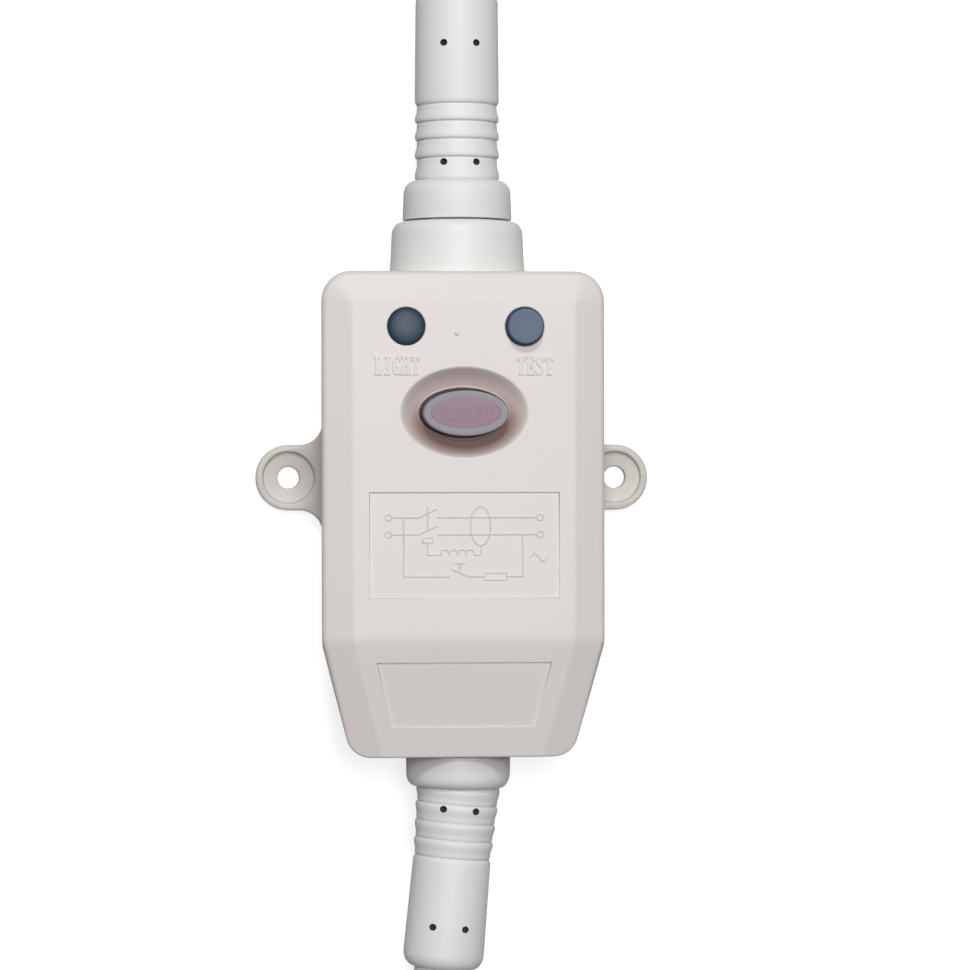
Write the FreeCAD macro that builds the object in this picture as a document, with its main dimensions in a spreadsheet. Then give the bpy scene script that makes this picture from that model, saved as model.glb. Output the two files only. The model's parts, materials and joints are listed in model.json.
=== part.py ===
import FreeCAD, Part
import math
import os
import re

import Sketcher

# In-line residual current device on a mains cable, lying on its back: +Z out of the front face, +Y towards
# the outlet end and +X to the reader's right. Millimetres, with the back of the case at height 0.

Vector = FreeCAD.Vector
Rotation = FreeCAD.Rotation
Placement = FreeCAD.Placement

doc = FreeCAD.newDocument("rcd_power_cable")

# Driving dimensions: name, value in millimetres or degrees, meaning.
SIZES = [
    ("case_length", 97.5, "case, end wall to end wall"),
    ("case_width", 56.8, "case at the lower edge of the side bevels"),
    ("case_height", 32.0, "back to front face"),
    ("case_draft", 4.0, "draft of the side walls, degrees"),
    ("wall", 2.0, "wall of both covers"),
    ("floor_thickness", 2.2, "back of the rear cover"),
    ("bevel_width", 6.15, "side bevel, seen from the front"),
    ("bevel_drop", 1.7, "depth of all bevels"),
    ("top_bevel_width", 6.3, "bevel at the outlet end"),
    ("fold_distance", 73.8, "outlet end to the fold of the sloping foot"),
    ("ramp_drop", 4.8, "fall of the sloping foot"),
    ("foot_width", 44.7, "case at the supply end"),
    ("corner_radius", 6.0, "corners at the outlet end"),
    ("foot_radius", 5.0, "corners at the supply end"),
    ("waist_radius", 8.0, "side edges at the fold"),
    ("lip_height", 1.6, "tongue of the rear cover inside the front cover"),
    ("lip_clearance", 0.15, "play round the tongue"),
    ("axis_height", 15.4, "cable axis, which is also the seam's height"),
    ("ear_spacing", 67.7, "between the two ear holes"),
    ("ear_distance", 41.25, "outlet end to the ear holes"),
    ("ear_radius", 6.75, "ear's round end"),
    ("ear_thickness", 3.6, "ear"),
    ("ear_hole_radius", 2.25, "hole for a 4 mm screw"),
    ("ear_sink_radius", 5.3, "seat of the screw head"),
    ("ear_sink_depth", 1.2, "seat of the screw head"),
    ("flare_radius", 4.8, "hollow curve between ear and case"),
    ("flare_start", 2.35, "ear hole to the start of the curve"),
    ("dish_length", 25.4, "oval dish round the reset button"),
    ("dish_width", 18.1, "oval dish"),
    ("dish_depth", 4.5, "oval dish"),
    ("dish_wall", 1.5, "wall under the dish"),
    ("reset_distance", 28.35, "outlet end to the reset button"),
    ("reset_length", 17.0, "reset button"),
    ("reset_width", 9.1, "reset button"),
    ("reset_rise", 1.6, "reset button above the face"),
    ("reset_travel", 2.5, "reset button"),
    ("reset_skin", 1.4, "wall of the hollow button"),
    ("reset_roof", 1.8, "top of the hollow button"),
    ("reset_flange", 1.3, "collar that keeps the button in"),
    ("reset_flange_height", 1.2, "collar that keeps the button in"),
    ("legend_length", 13.9, "coloured insert in the reset button"),
    ("legend_width", 6.4, "coloured insert in the reset button"),
    ("legend_height", 1.2, "coloured insert in the reset button"),
    ("guide_depth", 6.6, "guide of the reset button, from the face"),
    ("guide_wall", 1.3, "guide of the reset button"),
    ("stem_radius", 1.9, "push rod of the reset button"),
    ("button_gap", 0.3, "play round each button"),
    ("small_gap", 0.2, "play between internal pieces"),
    ("close_fit", 0.05, "play between pieces that fit closely"),
    ("lamp_distance", 11.2, "outlet end to lens and test button"),
    ("lens_offset", 11.6, "lens left of the middle"),
    ("lens_radius", 3.75, "lens"),
    ("lens_rise", 0.9, "dome above the face"),
    ("lens_flange", 0.8, "collar under the cover"),
    ("lens_flange_height", 1.2, "collar under the cover"),
    ("test_offset", 12.1, "test button right of the middle"),
    ("test_radius", 3.6, "test button"),
    ("test_rise", 2.6, "test button above the face"),
    ("test_travel", 1.5, "test button"),
    ("test_flange", 1.0, "collar under the cover"),
    ("test_flange_height", 1.2, "collar under the cover"),
    ("test_stem_radius", 1.5, "push rod of the test button"),
    ("panel_length", 38.2, "sunk rating panel"),
    ("panel_width", 21.3, "sunk rating panel"),
    ("panel_distance", 54.85, "outlet end to the panel's middle"),
    ("panel_depth", 0.4, "both sunk panels"),
    ("foot_panel_top", 35.3, "sunk panel on the foot, long side"),
    ("foot_panel_bottom", 28.8, "sunk panel on the foot, short side"),
    ("foot_panel_start", 78.2, "outlet end to the long side"),
    ("foot_panel_end", 91.5, "outlet end to the short side"),
    ("collar_length", 10.7, "outlet collar outside the case"),
    ("collar_radius", 13.8, "outlet collar at the case"),
    ("collar_end_radius", 13.35, "outlet collar at its free end"),
    ("collar_rounding", 2.3, "shoulder of the outlet collar"),
    ("spigot_radius", 10.0, "collar where it passes the end wall"),
    ("retainer_radius", 12.0, "collar inside the end wall"),
    ("retainer_thickness", 2.0, "collar inside the end wall"),
    ("cord_radius", 5.7, "cable jacket"),
    ("cord_play", 0.05, "between jacket and what holds it"),
    ("boot_gap", 0.3, "between outlet boot and collar"),
    ("outlet_flange_radius", 11.1, "flange of the outlet boot"),
    ("outlet_flange_length", 7.5, "flange of the outlet boot"),
    ("outlet_rib_radius", 8.6, "ribs of the outlet boot"),
    ("outlet_barrel_radius", 8.55, "barrel of the outlet boot"),
    ("outlet_end_radius", 8.4, "barrel at its free end"),
    ("outlet_rib_pitch", 3.85, "ribs of the outlet boot"),
    ("outlet_boot_length", 45.8, "outlet boot outside the collar"),
    ("supply_flange_radius", 10.5, "flange of the supply boot"),
    ("supply_flange_length", 6.3, "flange of the supply boot outside the case"),
    ("supply_rib_radius", 8.3, "ribs of the supply boot"),
    ("supply_barrel_radius", 8.0, "barrel of the supply boot"),
    ("supply_end_radius", 8.2, "barrel at its free end"),
    ("supply_rib_pitch", 3.6, "ribs of the supply boot"),
    ("supply_boot_length", 43.4, "supply boot outside the case"),
    ("supply_tilt", 5.2, "supply boot bent to the left, degrees"),
    ("bend_distance", 7.2, "case to where the supply boot bends"),
    ("groove_depth", 0.75, "grooves between the ribs"),
    ("groove_width", 0.9, "grooves between the ribs"),
    ("boot_rounding", 2.0, "flanges and free ends of the boots"),
    ("neck_radius", 7.5, "boots where a wall holds them"),
    ("neck_play", 0.2, "between neck and wall"),
    ("anchor_radius", 9.5, "disc that keeps a boot in"),
    ("anchor_thickness", 2.5, "disc that keeps a boot in"),
    ("recess_play", 0.5, "round the flange in the supply end wall"),
    ("holder_thickness", 2.0, "ribs that hold the supply boot's neck"),
    ("holder_width", 25.0, "ribs that hold the supply boot's neck"),
    ("pin_hole_radius", 0.7, "mould pin holes in the boots"),
    ("pin_hole_spacing", 6.6, "mould pin holes"),
    ("pin_hole_floor", 5.9, "cable axis to the bottom of a pin hole"),
    ("pin_hole_near", 11.4, "flange seat to the first pair of pin holes"),
    ("pin_hole_far", 35.4, "flange seat to the second pair of pin holes"),
    ("boss_inset", 6.2, "upper screw bosses from the sides"),
    ("boss_distance", 6.1, "upper screw bosses from the outlet end"),
    ("foot_boss_inset", 4.55, "lower screw bosses from the foot's corners"),
    ("foot_boss_distance", 8.0, "lower screw bosses from the supply end"),
    ("boss_radius", 3.8, "screw bosses"),
    ("screw_radius", 1.4, "case and clamp screws"),
    ("screw_play", 0.05, "round a screw"),
    ("screw_length", 18.0, "case screws under the head"),
    ("head_radius", 2.5, "screw heads"),
    ("head_height", 1.8, "screw heads"),
    ("screw_sink", 4.0, "case screw heads sunk in the back"),
    ("slot_width", 0.7, "screw slots"),
    ("slot_depth", 0.8, "screw slots"),
    ("board_length", 61.5, "circuit board"),
    ("board_width", 37.0, "circuit board"),
    ("board_thickness", 1.6, "circuit board"),
    ("board_height", 9.0, "underside of the circuit board"),
    ("board_distance", 7.7, "outlet end to the board's edge"),
    ("post_offset", 15.3, "board posts from the middle"),
    ("post_distance", 17.2, "outlet end to the upper posts"),
    ("low_post_distance", 64.0, "outlet end to the lower posts"),
    ("post_radius", 2.8, "board posts"),
    ("peg_radius", 1.2, "peg on each post"),
    ("peg_height", 3.0, "peg on each post"),
    ("clamp_distance", 13.0, "supply end to the cable clamp"),
    ("clamp_width", 7.0, "cable clamp along the cable"),
    ("clamp_length", 26.0, "cable clamp"),
    ("clamp_cover", 2.4, "cable clamp above the jacket"),
    ("clamp_screw_offset", 9.6, "clamp screws from the middle"),
    ("clamp_screw_length", 13.0, "clamp screws under the head"),
    ("jacket_inside", 20.0, "supply end to where the jacket is stripped"),
    ("frame_length", 30.0, "contact housing"),
    ("frame_width", 14.0, "contact housing"),
    ("frame_height", 9.6, "contact housing"),
    ("frame_wall", 1.4, "contact housing"),
    ("carrier_thickness", 1.8, "contact carrier"),
    ("contact_travel", 1.25, "contact carrier"),
    ("bridge_offset", 7.0, "contact bridges from the middle"),
    ("bridge_length", 8.4, "contact bridges"),
    ("bridge_width", 4.0, "contact bridges"),
    ("bridge_thickness", 0.8, "contact bridges"),
    ("rivet_offset", 2.8, "contact rivets from the bridge's middle"),
    ("rivet_radius", 1.3, "contact rivets"),
    ("rivet_height", 0.5, "contact rivets"),
    ("fixed_width", 3.2, "fixed contacts"),
    ("fixed_inset", 1.2, "fixed contacts from the carrier's middle"),
    ("fixed_thickness", 0.8, "fixed contacts"),
    ("fixed_lug", 2.0, "fixed contacts outside the housing"),
    ("contact_gap", 0.05, "closed contacts"),
    ("spring_wire", 0.25, "radius of the spring wire"),
    ("reset_spring_radius", 2.7, "reset spring, to the wire's middle"),
    ("carrier_spring_radius", 2.4, "carrier spring, to the wire's middle"),
    ("test_spring_radius", 2.4, "test spring, to the wire's middle"),
    ("plunger_spring_radius", 2.2, "plunger spring, to the wire's middle"),
    ("switch_size", 6.0, "test switch"),
    ("switch_height", 4.3, "test switch"),
    ("switch_key_radius", 1.7, "key of the test switch"),
    ("switch_key_height", 1.0, "key of the test switch"),
    ("switch_reserve", 0.1, "pressed test button to the key"),
    ("lamp_radius", 2.2, "indicator lamp"),
    ("lamp_foot", 2.0, "board to the indicator lamp"),
    ("lamp_height", 14.0, "indicator lamp"),
    ("lead_radius", 0.35, "component leads"),
    ("trip_offset", 12.0, "trip solenoid left of the middle"),
    ("trip_distance", 48.2, "outlet end to the trip solenoid"),
    ("former_length", 10.5, "solenoid bobbin"),
    ("former_radius", 4.6, "flanges of the solenoid bobbin"),
    ("former_flange", 0.9, "flanges of the solenoid bobbin"),
    ("winding_radius", 4.2, "solenoid winding"),
    ("tube_radius", 2.4, "tube of the bobbin"),
    ("yoke_thickness", 1.0, "steel yoke"),
    ("yoke_width", 6.6, "steel yoke"),
    ("plunger_radius", 1.6, "plunger"),
    ("plunger_travel", 2.0, "plunger"),
    ("plunger_reserve", 2.4, "bobbin's lower end to the plunger"),
    ("plunger_head_radius", 2.8, "head above the plunger spring"),
    ("plunger_head_length", 1.0, "head above the plunger spring"),
    ("plunger_spring_length", 3.6, "spring between yoke and head"),
    ("plunger_arm_width", 2.2, "trip arm on the plunger"),
    ("plunger_arm_drop", 8.7, "trip arm's hanging leg"),
    ("plunger_stop", 0.6, "trip arm to the contact housing"),
    ("ring_radius", 8.4, "current transformer outside"),
    ("ring_bore", 4.2, "current transformer bore"),
    ("ring_width", 7.0, "current transformer"),
    ("ring_rounding", 1.2, "edges of the current transformer"),
    ("ring_distance", 34.0, "supply end to the current transformer"),
    ("cradle_length", 14.0, "transformer cradle"),
    ("cradle_height", 5.4, "transformer cradle"),
    ("cradle_rim", 0.9, "transformer cradle on both sides of the ring"),
    ("core_radius", 1.25, "insulated conductors"),
    ("block_length", 17.8, "terminal block"),
    ("block_width", 8.5, "terminal block"),
    ("block_height", 7.2, "terminal block"),
    ("block_distance", 16.5, "outlet end to the terminal block"),
    ("entry_radius", 1.6, "wire entries of the terminal block"),
    ("entry_height", 3.0, "wire entries above the board"),
    ("terminal_radius", 1.3, "terminal screws"),
    ("terminal_length", 4.0, "terminal screws under the head"),
    ("terminal_head", 1.9, "terminal screw heads"),
    ("terminal_head_height", 1.5, "terminal screw heads"),
    ("coil_radius", 57.0, "put-away coil, to the cable's middle"),
    ("first_run", 11.2, "cable's first straight run outside the boot"),
    ("lay_run", 13.2, "cable's first run on the ground"),
    ("last_run", 11.6, "cable's last run before the coil"),
    ("coil_lead", 7.0, "straight start of the coil"),
    ("tie_play", 0.25, "strap round the coil"),
    ("tie_thickness", 0.8, "strap round the coil"),
    ("tie_width", 9.0, "strap round the coil"),
    ("layer_gap", 0.5, "between the coil's two layers"),
    ("plug_lead", 20.0, "coil to plug"),
    ("plug_lift", 1.0, "rise of the cable before the plug"),
    ("plug_radius", 19.6, "plug's round face"),
    ("plug_grip_radius", 12.6, "plug's waist"),
    ("plug_sleeve_radius", 7.2, "plug's cable sleeve"),
    ("plug_sleeve_length", 22.0, "plug's cable sleeve"),
    ("plug_body_length", 62.0, "sleeve to face"),
    ("plug_head_length", 22.0, "the wide front of the plug"),
    ("plug_pin_radius", 2.4, "line and neutral pins"),
    ("plug_pin_length", 19.0, "pins outside the face"),
    ("plug_pin_spacing", 19.0, "pins, middle to middle"),
    ("plug_earth_width", 5.2, "side earth contacts"),
    ("plug_earth_depth", 1.6, "side earth contacts"),
    ("plug_socket_radius", 2.6, "hole for the socket's earth pin"),
    ("plug_socket_offset", 10.0, "hole for the socket's earth pin"),
]

# Places that follow from the driving dimensions.
PLACES = [
    ("half_span", "(case_length + collar_length + boot_gap + outlet_boot_length) / 2"),
    ("case_bottom", "-half_span"),
    ("case_top", "case_length - half_span"),
    ("case_half", "case_width / 2"),
    ("foot_half", "foot_width / 2"),
    ("fold_y", "case_top - fold_distance"),
    ("foot_slope", "(case_half - foot_half) / (fold_y - case_bottom)"),
    ("foot_stretch", "sqrt(1 + foot_slope ^ 2)"),
    ("ear_x", "ear_spacing / 2"),
    ("ear_y", "case_top - ear_distance"),
    ("reset_y", "case_top - reset_distance"),
    ("lamp_y", "case_top - lamp_distance"),
    ("panel_y", "case_top - panel_distance"),
    ("inner_top", "case_top - wall"),
    ("inner_bottom", "case_bottom + wall"),
    ("roof_z", "case_height - wall"),
    ("boss_y", "case_top - boss_distance"),
    ("boss_offset", "case_half - boss_inset"),
    ("foot_boss_y", "case_bottom + foot_boss_distance"),
    ("foot_boss_offset", "foot_half - foot_boss_inset"),
    ("board_top", "board_height + board_thickness"),
    ("board_y", "case_top - board_distance - board_length / 2"),
    ("post_y", "case_top - post_distance"),
    ("low_post_y", "case_top - low_post_distance"),
    ("frame_top", "board_top + frame_height"),
    ("fixed_z", "frame_top - frame_wall - small_gap - fixed_thickness"),
    ("rivet_top", "fixed_z - contact_gap"),
    ("bridge_top", "rivet_top - rivet_height"),
    ("carrier_top", "bridge_top - bridge_thickness"),
    ("carrier_bottom", "carrier_top - carrier_thickness"),
    ("reset_roof_z", "case_height + reset_rise - reset_roof"),
    ("guide_z", "case_height - guide_depth"),
    ("stem_z", "carrier_top + reset_travel - contact_travel + close_fit"),
    ("switch_top", "board_top + switch_height"),
    ("test_flange_z", "roof_z - test_flange_height"),
    ("test_stem_z", "switch_top + switch_key_height + test_travel + switch_reserve"),
    ("trip_x", "-trip_offset"),
    ("trip_y", "case_top - trip_distance"),
    ("former_z", "board_top + yoke_thickness"),
    ("yoke_top", "former_z + former_length + yoke_thickness"),
    ("head_z", "yoke_top + plunger_spring_length"),
    ("ring_y", "case_bottom + ring_distance"),
    ("ring_z", "board_top + ring_radius + small_gap"),
    ("block_y", "case_top - block_distance"),
    ("block_top", "board_top + block_height"),
    ("clamp_y", "case_bottom + clamp_distance"),
    ("clamp_top", "axis_height + cord_radius + clamp_cover"),
    ("jacket_y", "case_bottom + jacket_inside"),
    ("bore_radius", "cord_radius + cord_play"),
    ("bend_y", "case_bottom - bend_distance"),
    ("tilted_length", "supply_boot_length - bend_distance"),
    ("low_turn", "cord_radius + tie_thickness + tie_play"),
    ("high_turn", "low_turn + 2 * cord_radius + layer_gap"),
]

FULL_TURN = 360.0
ALONG_Y = Rotation(Vector(1, 0, 0), -90)
AGAINST_Y = Rotation(Vector(1, 0, 0), 90)
ALONG_X = Rotation(Vector(0, 1, 0), 90)
UPRIGHT = Rotation()
SIDES = (-1, 1)
WORD = re.compile(r"[a-z][a-z_]*")

homes = {}
subparts = {}


def bound(expression):
    """The expression with the name of its sheet before each named value."""
    return WORD.sub(lambda found: homes.get(found[0], "") + found[0], str(expression))


def sheet_of(name, rows):
    """A sheet with a row for each value: its name, the value and its meaning."""
    sheet = doc.addObject("Spreadsheet::Sheet", name)
    for number, (alias, content, *meaning) in enumerate(rows, start=1):
        sheet.set(f"A{number}", alias)
        sheet.set(f"B{number}", str(content) if meaning else "=" + bound(content))
        sheet.setAlias(f"B{number}", alias)
        for words in meaning:
            sheet.set(f"C{number}", words)
        homes[alias] = ""
    doc.recompute()
    homes.update({row[0]: name + "." for row in rows})
    return sheet


sizes = sheet_of("Sizes", SIZES)
places = sheet_of("Places", PLACES)


def value(name):
    """The number that a named value has now."""
    return float(getattr(sizes if homes[name] == "Sizes." else places, name))


def bind(thing, expressions):
    for key, expression in expressions.items():
        thing.setExpression(key, bound(expression))
    return thing


def put(thing, x, y, z, turn=UPRIGHT):
    """The thing at a place given by expressions, turned as told."""
    thing.Placement = Placement(Vector(), turn)
    return bind(thing, {".Placement.Base.x": x, ".Placement.Base.y": y, ".Placement.Base.z": z})


def block(name, length, width, height, x, y, z):
    """A box whose middle is over (x, y) and whose underside is at z."""
    box = bind(doc.addObject("Part::Box", name), {"Length": length, "Width": width, "Height": height})
    return put(box, f"({x}) - ({length}) / 2", f"({y}) - ({width}) / 2", z)


def rod(name, radius, height, x, y, z, turn=UPRIGHT):
    """A cylinder that starts at a point and runs along its turned Z axis."""
    made = bind(doc.addObject("Part::Cylinder", name), {"Radius": radius, "Height": height})
    return put(made, x, y, z, turn)


def oval(name, length, width, height, x, y, z):
    """An upright elliptical column."""
    rim = doc.addObject("Part::Ellipse", name + "_rim")
    bind(rim, {"MajorRadius": f"({length}) / 2", "MinorRadius": f"({width}) / 2"})
    put(rim, x, y, z)
    column = doc.addObject("Part::Extrusion", name)
    column.Base = rim
    column.DirMode = "Custom"
    column.Dir = Vector(0, 0, 1)
    column.Solid = True
    return bind(column, {"LengthFwd": height})


def fuse(name, parts):
    made = doc.addObject("Part::MultiFuse", name)
    made.Shapes = list(parts)
    made.Refine = True
    return made


def cut(name, base, tools):
    made = doc.addObject("Part::Cut", name)
    made.Base = base
    made.Tool = tools[0] if len(tools) == 1 else fuse(name + "_tools", tools)
    made.Refine = True
    return made


def shared(name, first, second):
    made = doc.addObject("Part::Common", name)
    made.Base = first
    made.Tool = second
    made.Refine = True
    return made


def group(name, parts):
    made = doc.addObject("Part::Compound", name)
    made.Links = list(parts)
    return made


def shape(name, solid):
    """A piece whose form needs Part's own functions."""
    made = doc.addObject("Part::Feature", name)
    made.Shape = solid
    return made


def outline(body, plane, corners):
    """A closed sketch on one of the body's own planes, each corner tied to two expressions."""
    sketch = body.newObject("Sketcher::SketchObject", body.Name + "_outline")
    support = [face for face in body.Origin.OriginFeatures if face.Role == plane]
    sketch.AttachmentSupport = [(support[0], "")]
    sketch.MapMode = "FlatFace"
    count = len(corners)
    start = [Vector(index, index * index % 5, 0) for index in range(count + 1)]
    start[count] = start[0]
    for index in range(count):
        sketch.addGeometry(Part.LineSegment(start[index], start[index + 1]), False)
    for index in range(count):
        sketch.addConstraint(Sketcher.Constraint("Coincident", index, 2, (index + 1) % count, 1))
    for index, corner in enumerate(corners):
        for kind, axis, expression in (("DistanceX", -2, corner[0]), ("DistanceY", -1, corner[1])):
            if str(expression) == "0":
                sketch.addConstraint(Sketcher.Constraint("PointOnObject", index, 1, axis))
                continue
            sketch.addConstraint(Sketcher.Constraint(kind, -1, 1, index, 1, 1.0))
            sketch.renameConstraint(sketch.ConstraintCount - 1, f"{kind}{index}")
            sketch.setExpression(f"Constraints.{kind}{index}", bound(expression))
    return sketch


def padded(name, corners, height):
    """A body that is a closed outline raised to a height."""
    body = doc.addObject("PartDesign::Body", name)
    pad = body.newObject("PartDesign::Pad", name + "_pad")
    pad.Profile = outline(body, "XY_Plane", corners)
    bind(pad, {"Length": height})
    body.Tip = pad
    return body, pad


def turned(name, profile, x, y, z, turn=UPRIGHT, rounded=()):
    """A body turned round its Z axis from (radius, height) corners; rounded tells the radius at some corners."""
    body = doc.addObject("PartDesign::Body", name)
    sketch = outline(body, "XZ_Plane", profile)
    spin = body.newObject("PartDesign::Revolution", name + "_spin")
    spin.Profile = sketch
    spin.ReferenceAxis = (sketch, ["V_Axis"])
    spin.Angle = FULL_TURN
    body.Tip = spin
    doc.recompute()
    corners = [line.StartPoint for line in sketch.Geometry]
    for number, (rounding, places_on) in enumerate(rounded):
        base = body.Tip
        edges = [ring_edge(base.Shape, corners[place]) for place in places_on]
        fillet = body.newObject("PartDesign::Fillet", f"{name}_rounding{number}")
        fillet.Base = (base, edges)
        bind(fillet, {"Radius": rounding})
        body.Tip = fillet
        doc.recompute()
    return put(body, x, y, z, turn)


def ring_edge(solid, corner):
    """The name of the round edge that a corner of the profile makes."""
    away = {}
    for number, edge in enumerate(solid.Edges, start=1):
        if isinstance(edge.Curve, Part.Circle):
            place = abs(edge.Curve.Radius - corner.x) + abs(edge.Curve.Center.z - corner.y)
            away[f"Edge{number}"] = place
    return min(away, key=away.get)


def subpart(name, thing):
    thing.Label = name
    subparts[name] = thing
    return thing
def beyond(spot, normal, inset):
    """A large block outside the plane through a spot, the plane moved inwards by an inset."""
    side = 260.0
    made = Part.makeBox(side, side, side, Vector(-side / 2, -side / 2, 0))
    made.Placement = Placement(spot - normal * inset, Rotation(Vector(0, 0, 1), normal))
    return made


def across(first, second, third):
    """The plane through three spots, as a spot and the normal that points away from the middle of the case."""
    normal = (second - first).cross(third - first).normalize()
    middle = Vector(0, (value("case_top") + value("case_bottom")) / 2, value("axis_height"))
    return first, normal if normal.dot(first - middle) > 0 else -normal


def hull(name, inset, low, sloped=True):
    """The form of the case moved in by an inset: leaning sides, narrowing foot, round corners, front bevels."""
    half, foot, bevel = value("case_half"), value("foot_half"), value("bevel_width")
    face, drop, ramp = value("case_height"), value("bevel_drop"), value("ramp_drop")
    fold, end, top = value("fold_y"), value("case_bottom"), value("case_top")
    lean = math.tan(math.radians(value("case_draft")))
    rim = face - drop
    walls = [(Vector(0, top, 0), Vector(0, 1, 0)), (Vector(0, end, 0), Vector(0, -1, 0))]
    fronts = [
        (Vector(0, 0, face), Vector(0, 0, 1)),
        across(Vector(0, fold, face), Vector(1, fold, face), Vector(0, end, face - ramp)),
        across(Vector(0, top, rim), Vector(1, top, rim), Vector(0, top - value("top_bevel_width"), face)),
    ]
    for side in SIDES:
        outer, inner = Vector(side * half, fold, rim), Vector(side * (half - bevel), fold, face)
        low_outer = Vector(side * foot, end, rim - ramp)
        down = Vector(-side * lean, 0, -1)
        walls.append(across(outer, outer + Vector(0, 1, 0), outer + down))
        walls.append(across(outer, Vector(side * foot, end, rim), outer + down))
        fronts.append(across(outer, outer + Vector(0, 1, 0), inner))
        fronts.append(across(outer, inner, low_outer))
    margin = 7.0
    rest = Part.makeBox(2 * (half + margin), top - end + 2 * margin, face + margin - low)
    rest.translate(Vector(-half - margin, end - margin, low))
    for spot, normal in walls:
        rest = rest.cut(beyond(spot, normal, inset))
    rest = rest.removeSplitter()
    for radius, place in (("corner_radius", top), ("waist_radius", fold), ("foot_radius", end)):
        upright = [edge for edge in rest.Edges if edge.BoundBox.ZLength > 10 and abs(edge.BoundBox.YMin - place) < 3]
        rest = rest.makeFillet(value(radius) - inset, upright)
    if sloped:
        for spot, normal in fronts:
            rest = rest.cut(beyond(spot, normal, inset))
    rest = rest.removeSplitter().Solids[0]
    return shape(name, rest)


# Case: forms of the outside, the cavity, the tongue and its groove

outside = hull("outside", 0.0, 0.0)
cavity = hull("cavity", value("wall"), value("floor_thickness"))
tongue_hull = hull("tongue_hull", value("wall") / 2 + value("lip_clearance"), value("floor_thickness"), False)
groove_hull = hull("groove_hull", value("wall") / 2, value("floor_thickness"), False)

def trench(name, start, end, radius, play="small_gap"):
    """A round passage along the cable axis between two places."""
    return rod(name, f"{radius} + {play}", f"({end}) - ({start})", 0, start, "axis_height", ALONG_Y)


def foot_slab(name, depth):
    """The tapered panel on the sloping foot, as deep as told below its surface."""
    top, ramp = value("case_top"), value("ramp_drop") / (value("case_length") - value("fold_distance"))
    corners = []
    for distance, width in (("foot_panel_start", "foot_panel_top"), ("foot_panel_end", "foot_panel_bottom")):
        y = top - value(distance)
        z = value("case_height") - (value("fold_y") - y) * ramp - value(depth)
        corners.append([Vector(side * value(width) / 2, y, z) for side in SIDES])
    (one, two), (four, three) = corners
    return shape(name, Part.Face(Part.makePolygon([one, two, three, four, one])).extrude(Vector(0, 0, 5)))


def dish(name, extra):
    """The ellipsoid that makes the oval dish, grown by a wall."""
    reach = "((dish_width / 2) ^ 2 + dish_depth ^ 2) / (2 * dish_depth)"
    ball = doc.addObject("Part::Ellipsoid", name)
    ball.Angle1 = -90
    ball.Angle2 = 90
    ball.Angle3 = 360
    bind(ball, {
        "Radius1": f"{reach} + ({extra})",
        "Radius2": f"{reach} * dish_length / dish_width + ({extra})",
        "Radius3": f"{reach} + ({extra})",
    })
    return put(ball, 0, "reset_y", f"case_height - dish_depth + {reach}")


def bosses(name, radius, z, height, spots=("boss", "foot_boss")):
    """Columns at the four case screws."""
    made = []
    for place in spots:
        for number, side in enumerate(SIDES):
            made.append(rod(f"{name}_{place}{number}", radius, height, f"{side} * {place}_offset", f"{place}_y", z))
    return made


# Front cover

upper = block("upper_half", "case_width + 10", "case_length + 10", "case_height", 0, "(case_top + case_bottom) / 2", "axis_height")
lower = block("lower_half", "case_width + 10", "case_length + 10", "axis_height", 0, "(case_top + case_bottom) / 2", 0)
lip_slab = block(
    "lip_slab", "case_width + 10", "case_length + 10", "lip_height", 0, "(case_top + case_bottom) / 2", "axis_height"
)
groove_slab = block(
    "groove_slab", "case_width + 10", "case_length + 10", "lip_height + small_gap",
    0, "(case_top + case_bottom) / 2", "axis_height",
)
front_shell = cut("front_shell", shared("front_block", outside, upper), [cavity, shared("groove", groove_hull, groove_slab)])
front_inside = shared("front_inside", outside, fuse("front_columns", [
    *bosses("front_boss", "boss_radius", "axis_height + lip_height + small_gap", "case_height"),
    block("front_holder", "holder_width", "holder_thickness", "case_height", 0, "inner_bottom + holder_thickness / 2", "axis_height"),
    shared("dish_wall_block", dish("dish_outside", "dish_wall"), block("dish_keep", 40, 30, 6.5, 0, "reset_y", "case_height - 6.5")),
    oval("reset_guide", "reset_length + 2 * (button_gap + guide_wall)", "reset_width + 2 * (button_gap + guide_wall)",
         "guide_depth", 0, "reset_y", "guide_z"),
]))
front_cuts = [
    dish("dish_hollow", "0"),
    oval("reset_opening", "reset_length + 2 * button_gap", "reset_width + 2 * button_gap", "case_height", 0, "reset_y", "guide_z - 1"),
    rod("lens_opening", "lens_radius + close_fit", "case_height", "-lens_offset", "lamp_y", "axis_height"),
    rod("test_opening", "test_radius + button_gap", "case_height", "test_offset", "lamp_y", "axis_height"),
    block("panel_recess", "panel_length", "panel_width", 5, 0, "panel_y", "case_height - panel_depth"),
    foot_slab("foot_recess", "panel_depth"),
    *bosses("front_bore", "screw_radius + screw_play", "axis_height", "screw_sink + screw_length - axis_height + 1"),
    trench("collar_passage", "inner_top - 1", "case_top + 1", "spigot_radius"),
    trench("supply_passage", "case_bottom - 1", "inner_bottom", "supply_flange_radius", "recess_play"),
    trench("supply_neck_passage", "inner_bottom - 1", "inner_bottom + holder_thickness + 1", "neck_radius", "neck_play"),
]
pip = doc.addObject("Part::Sphere", "pip")
bind(pip, {"Radius": 0.45})
put(pip, -1.5, "case_top - 12.6", "case_height")
front_cover = subpart("front_cover", fuse("front_cover", [
    cut("front_opened", fuse("front_full", [front_shell, front_inside]), front_cuts), pip,
]))

# Rear cover with its two ears

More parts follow.
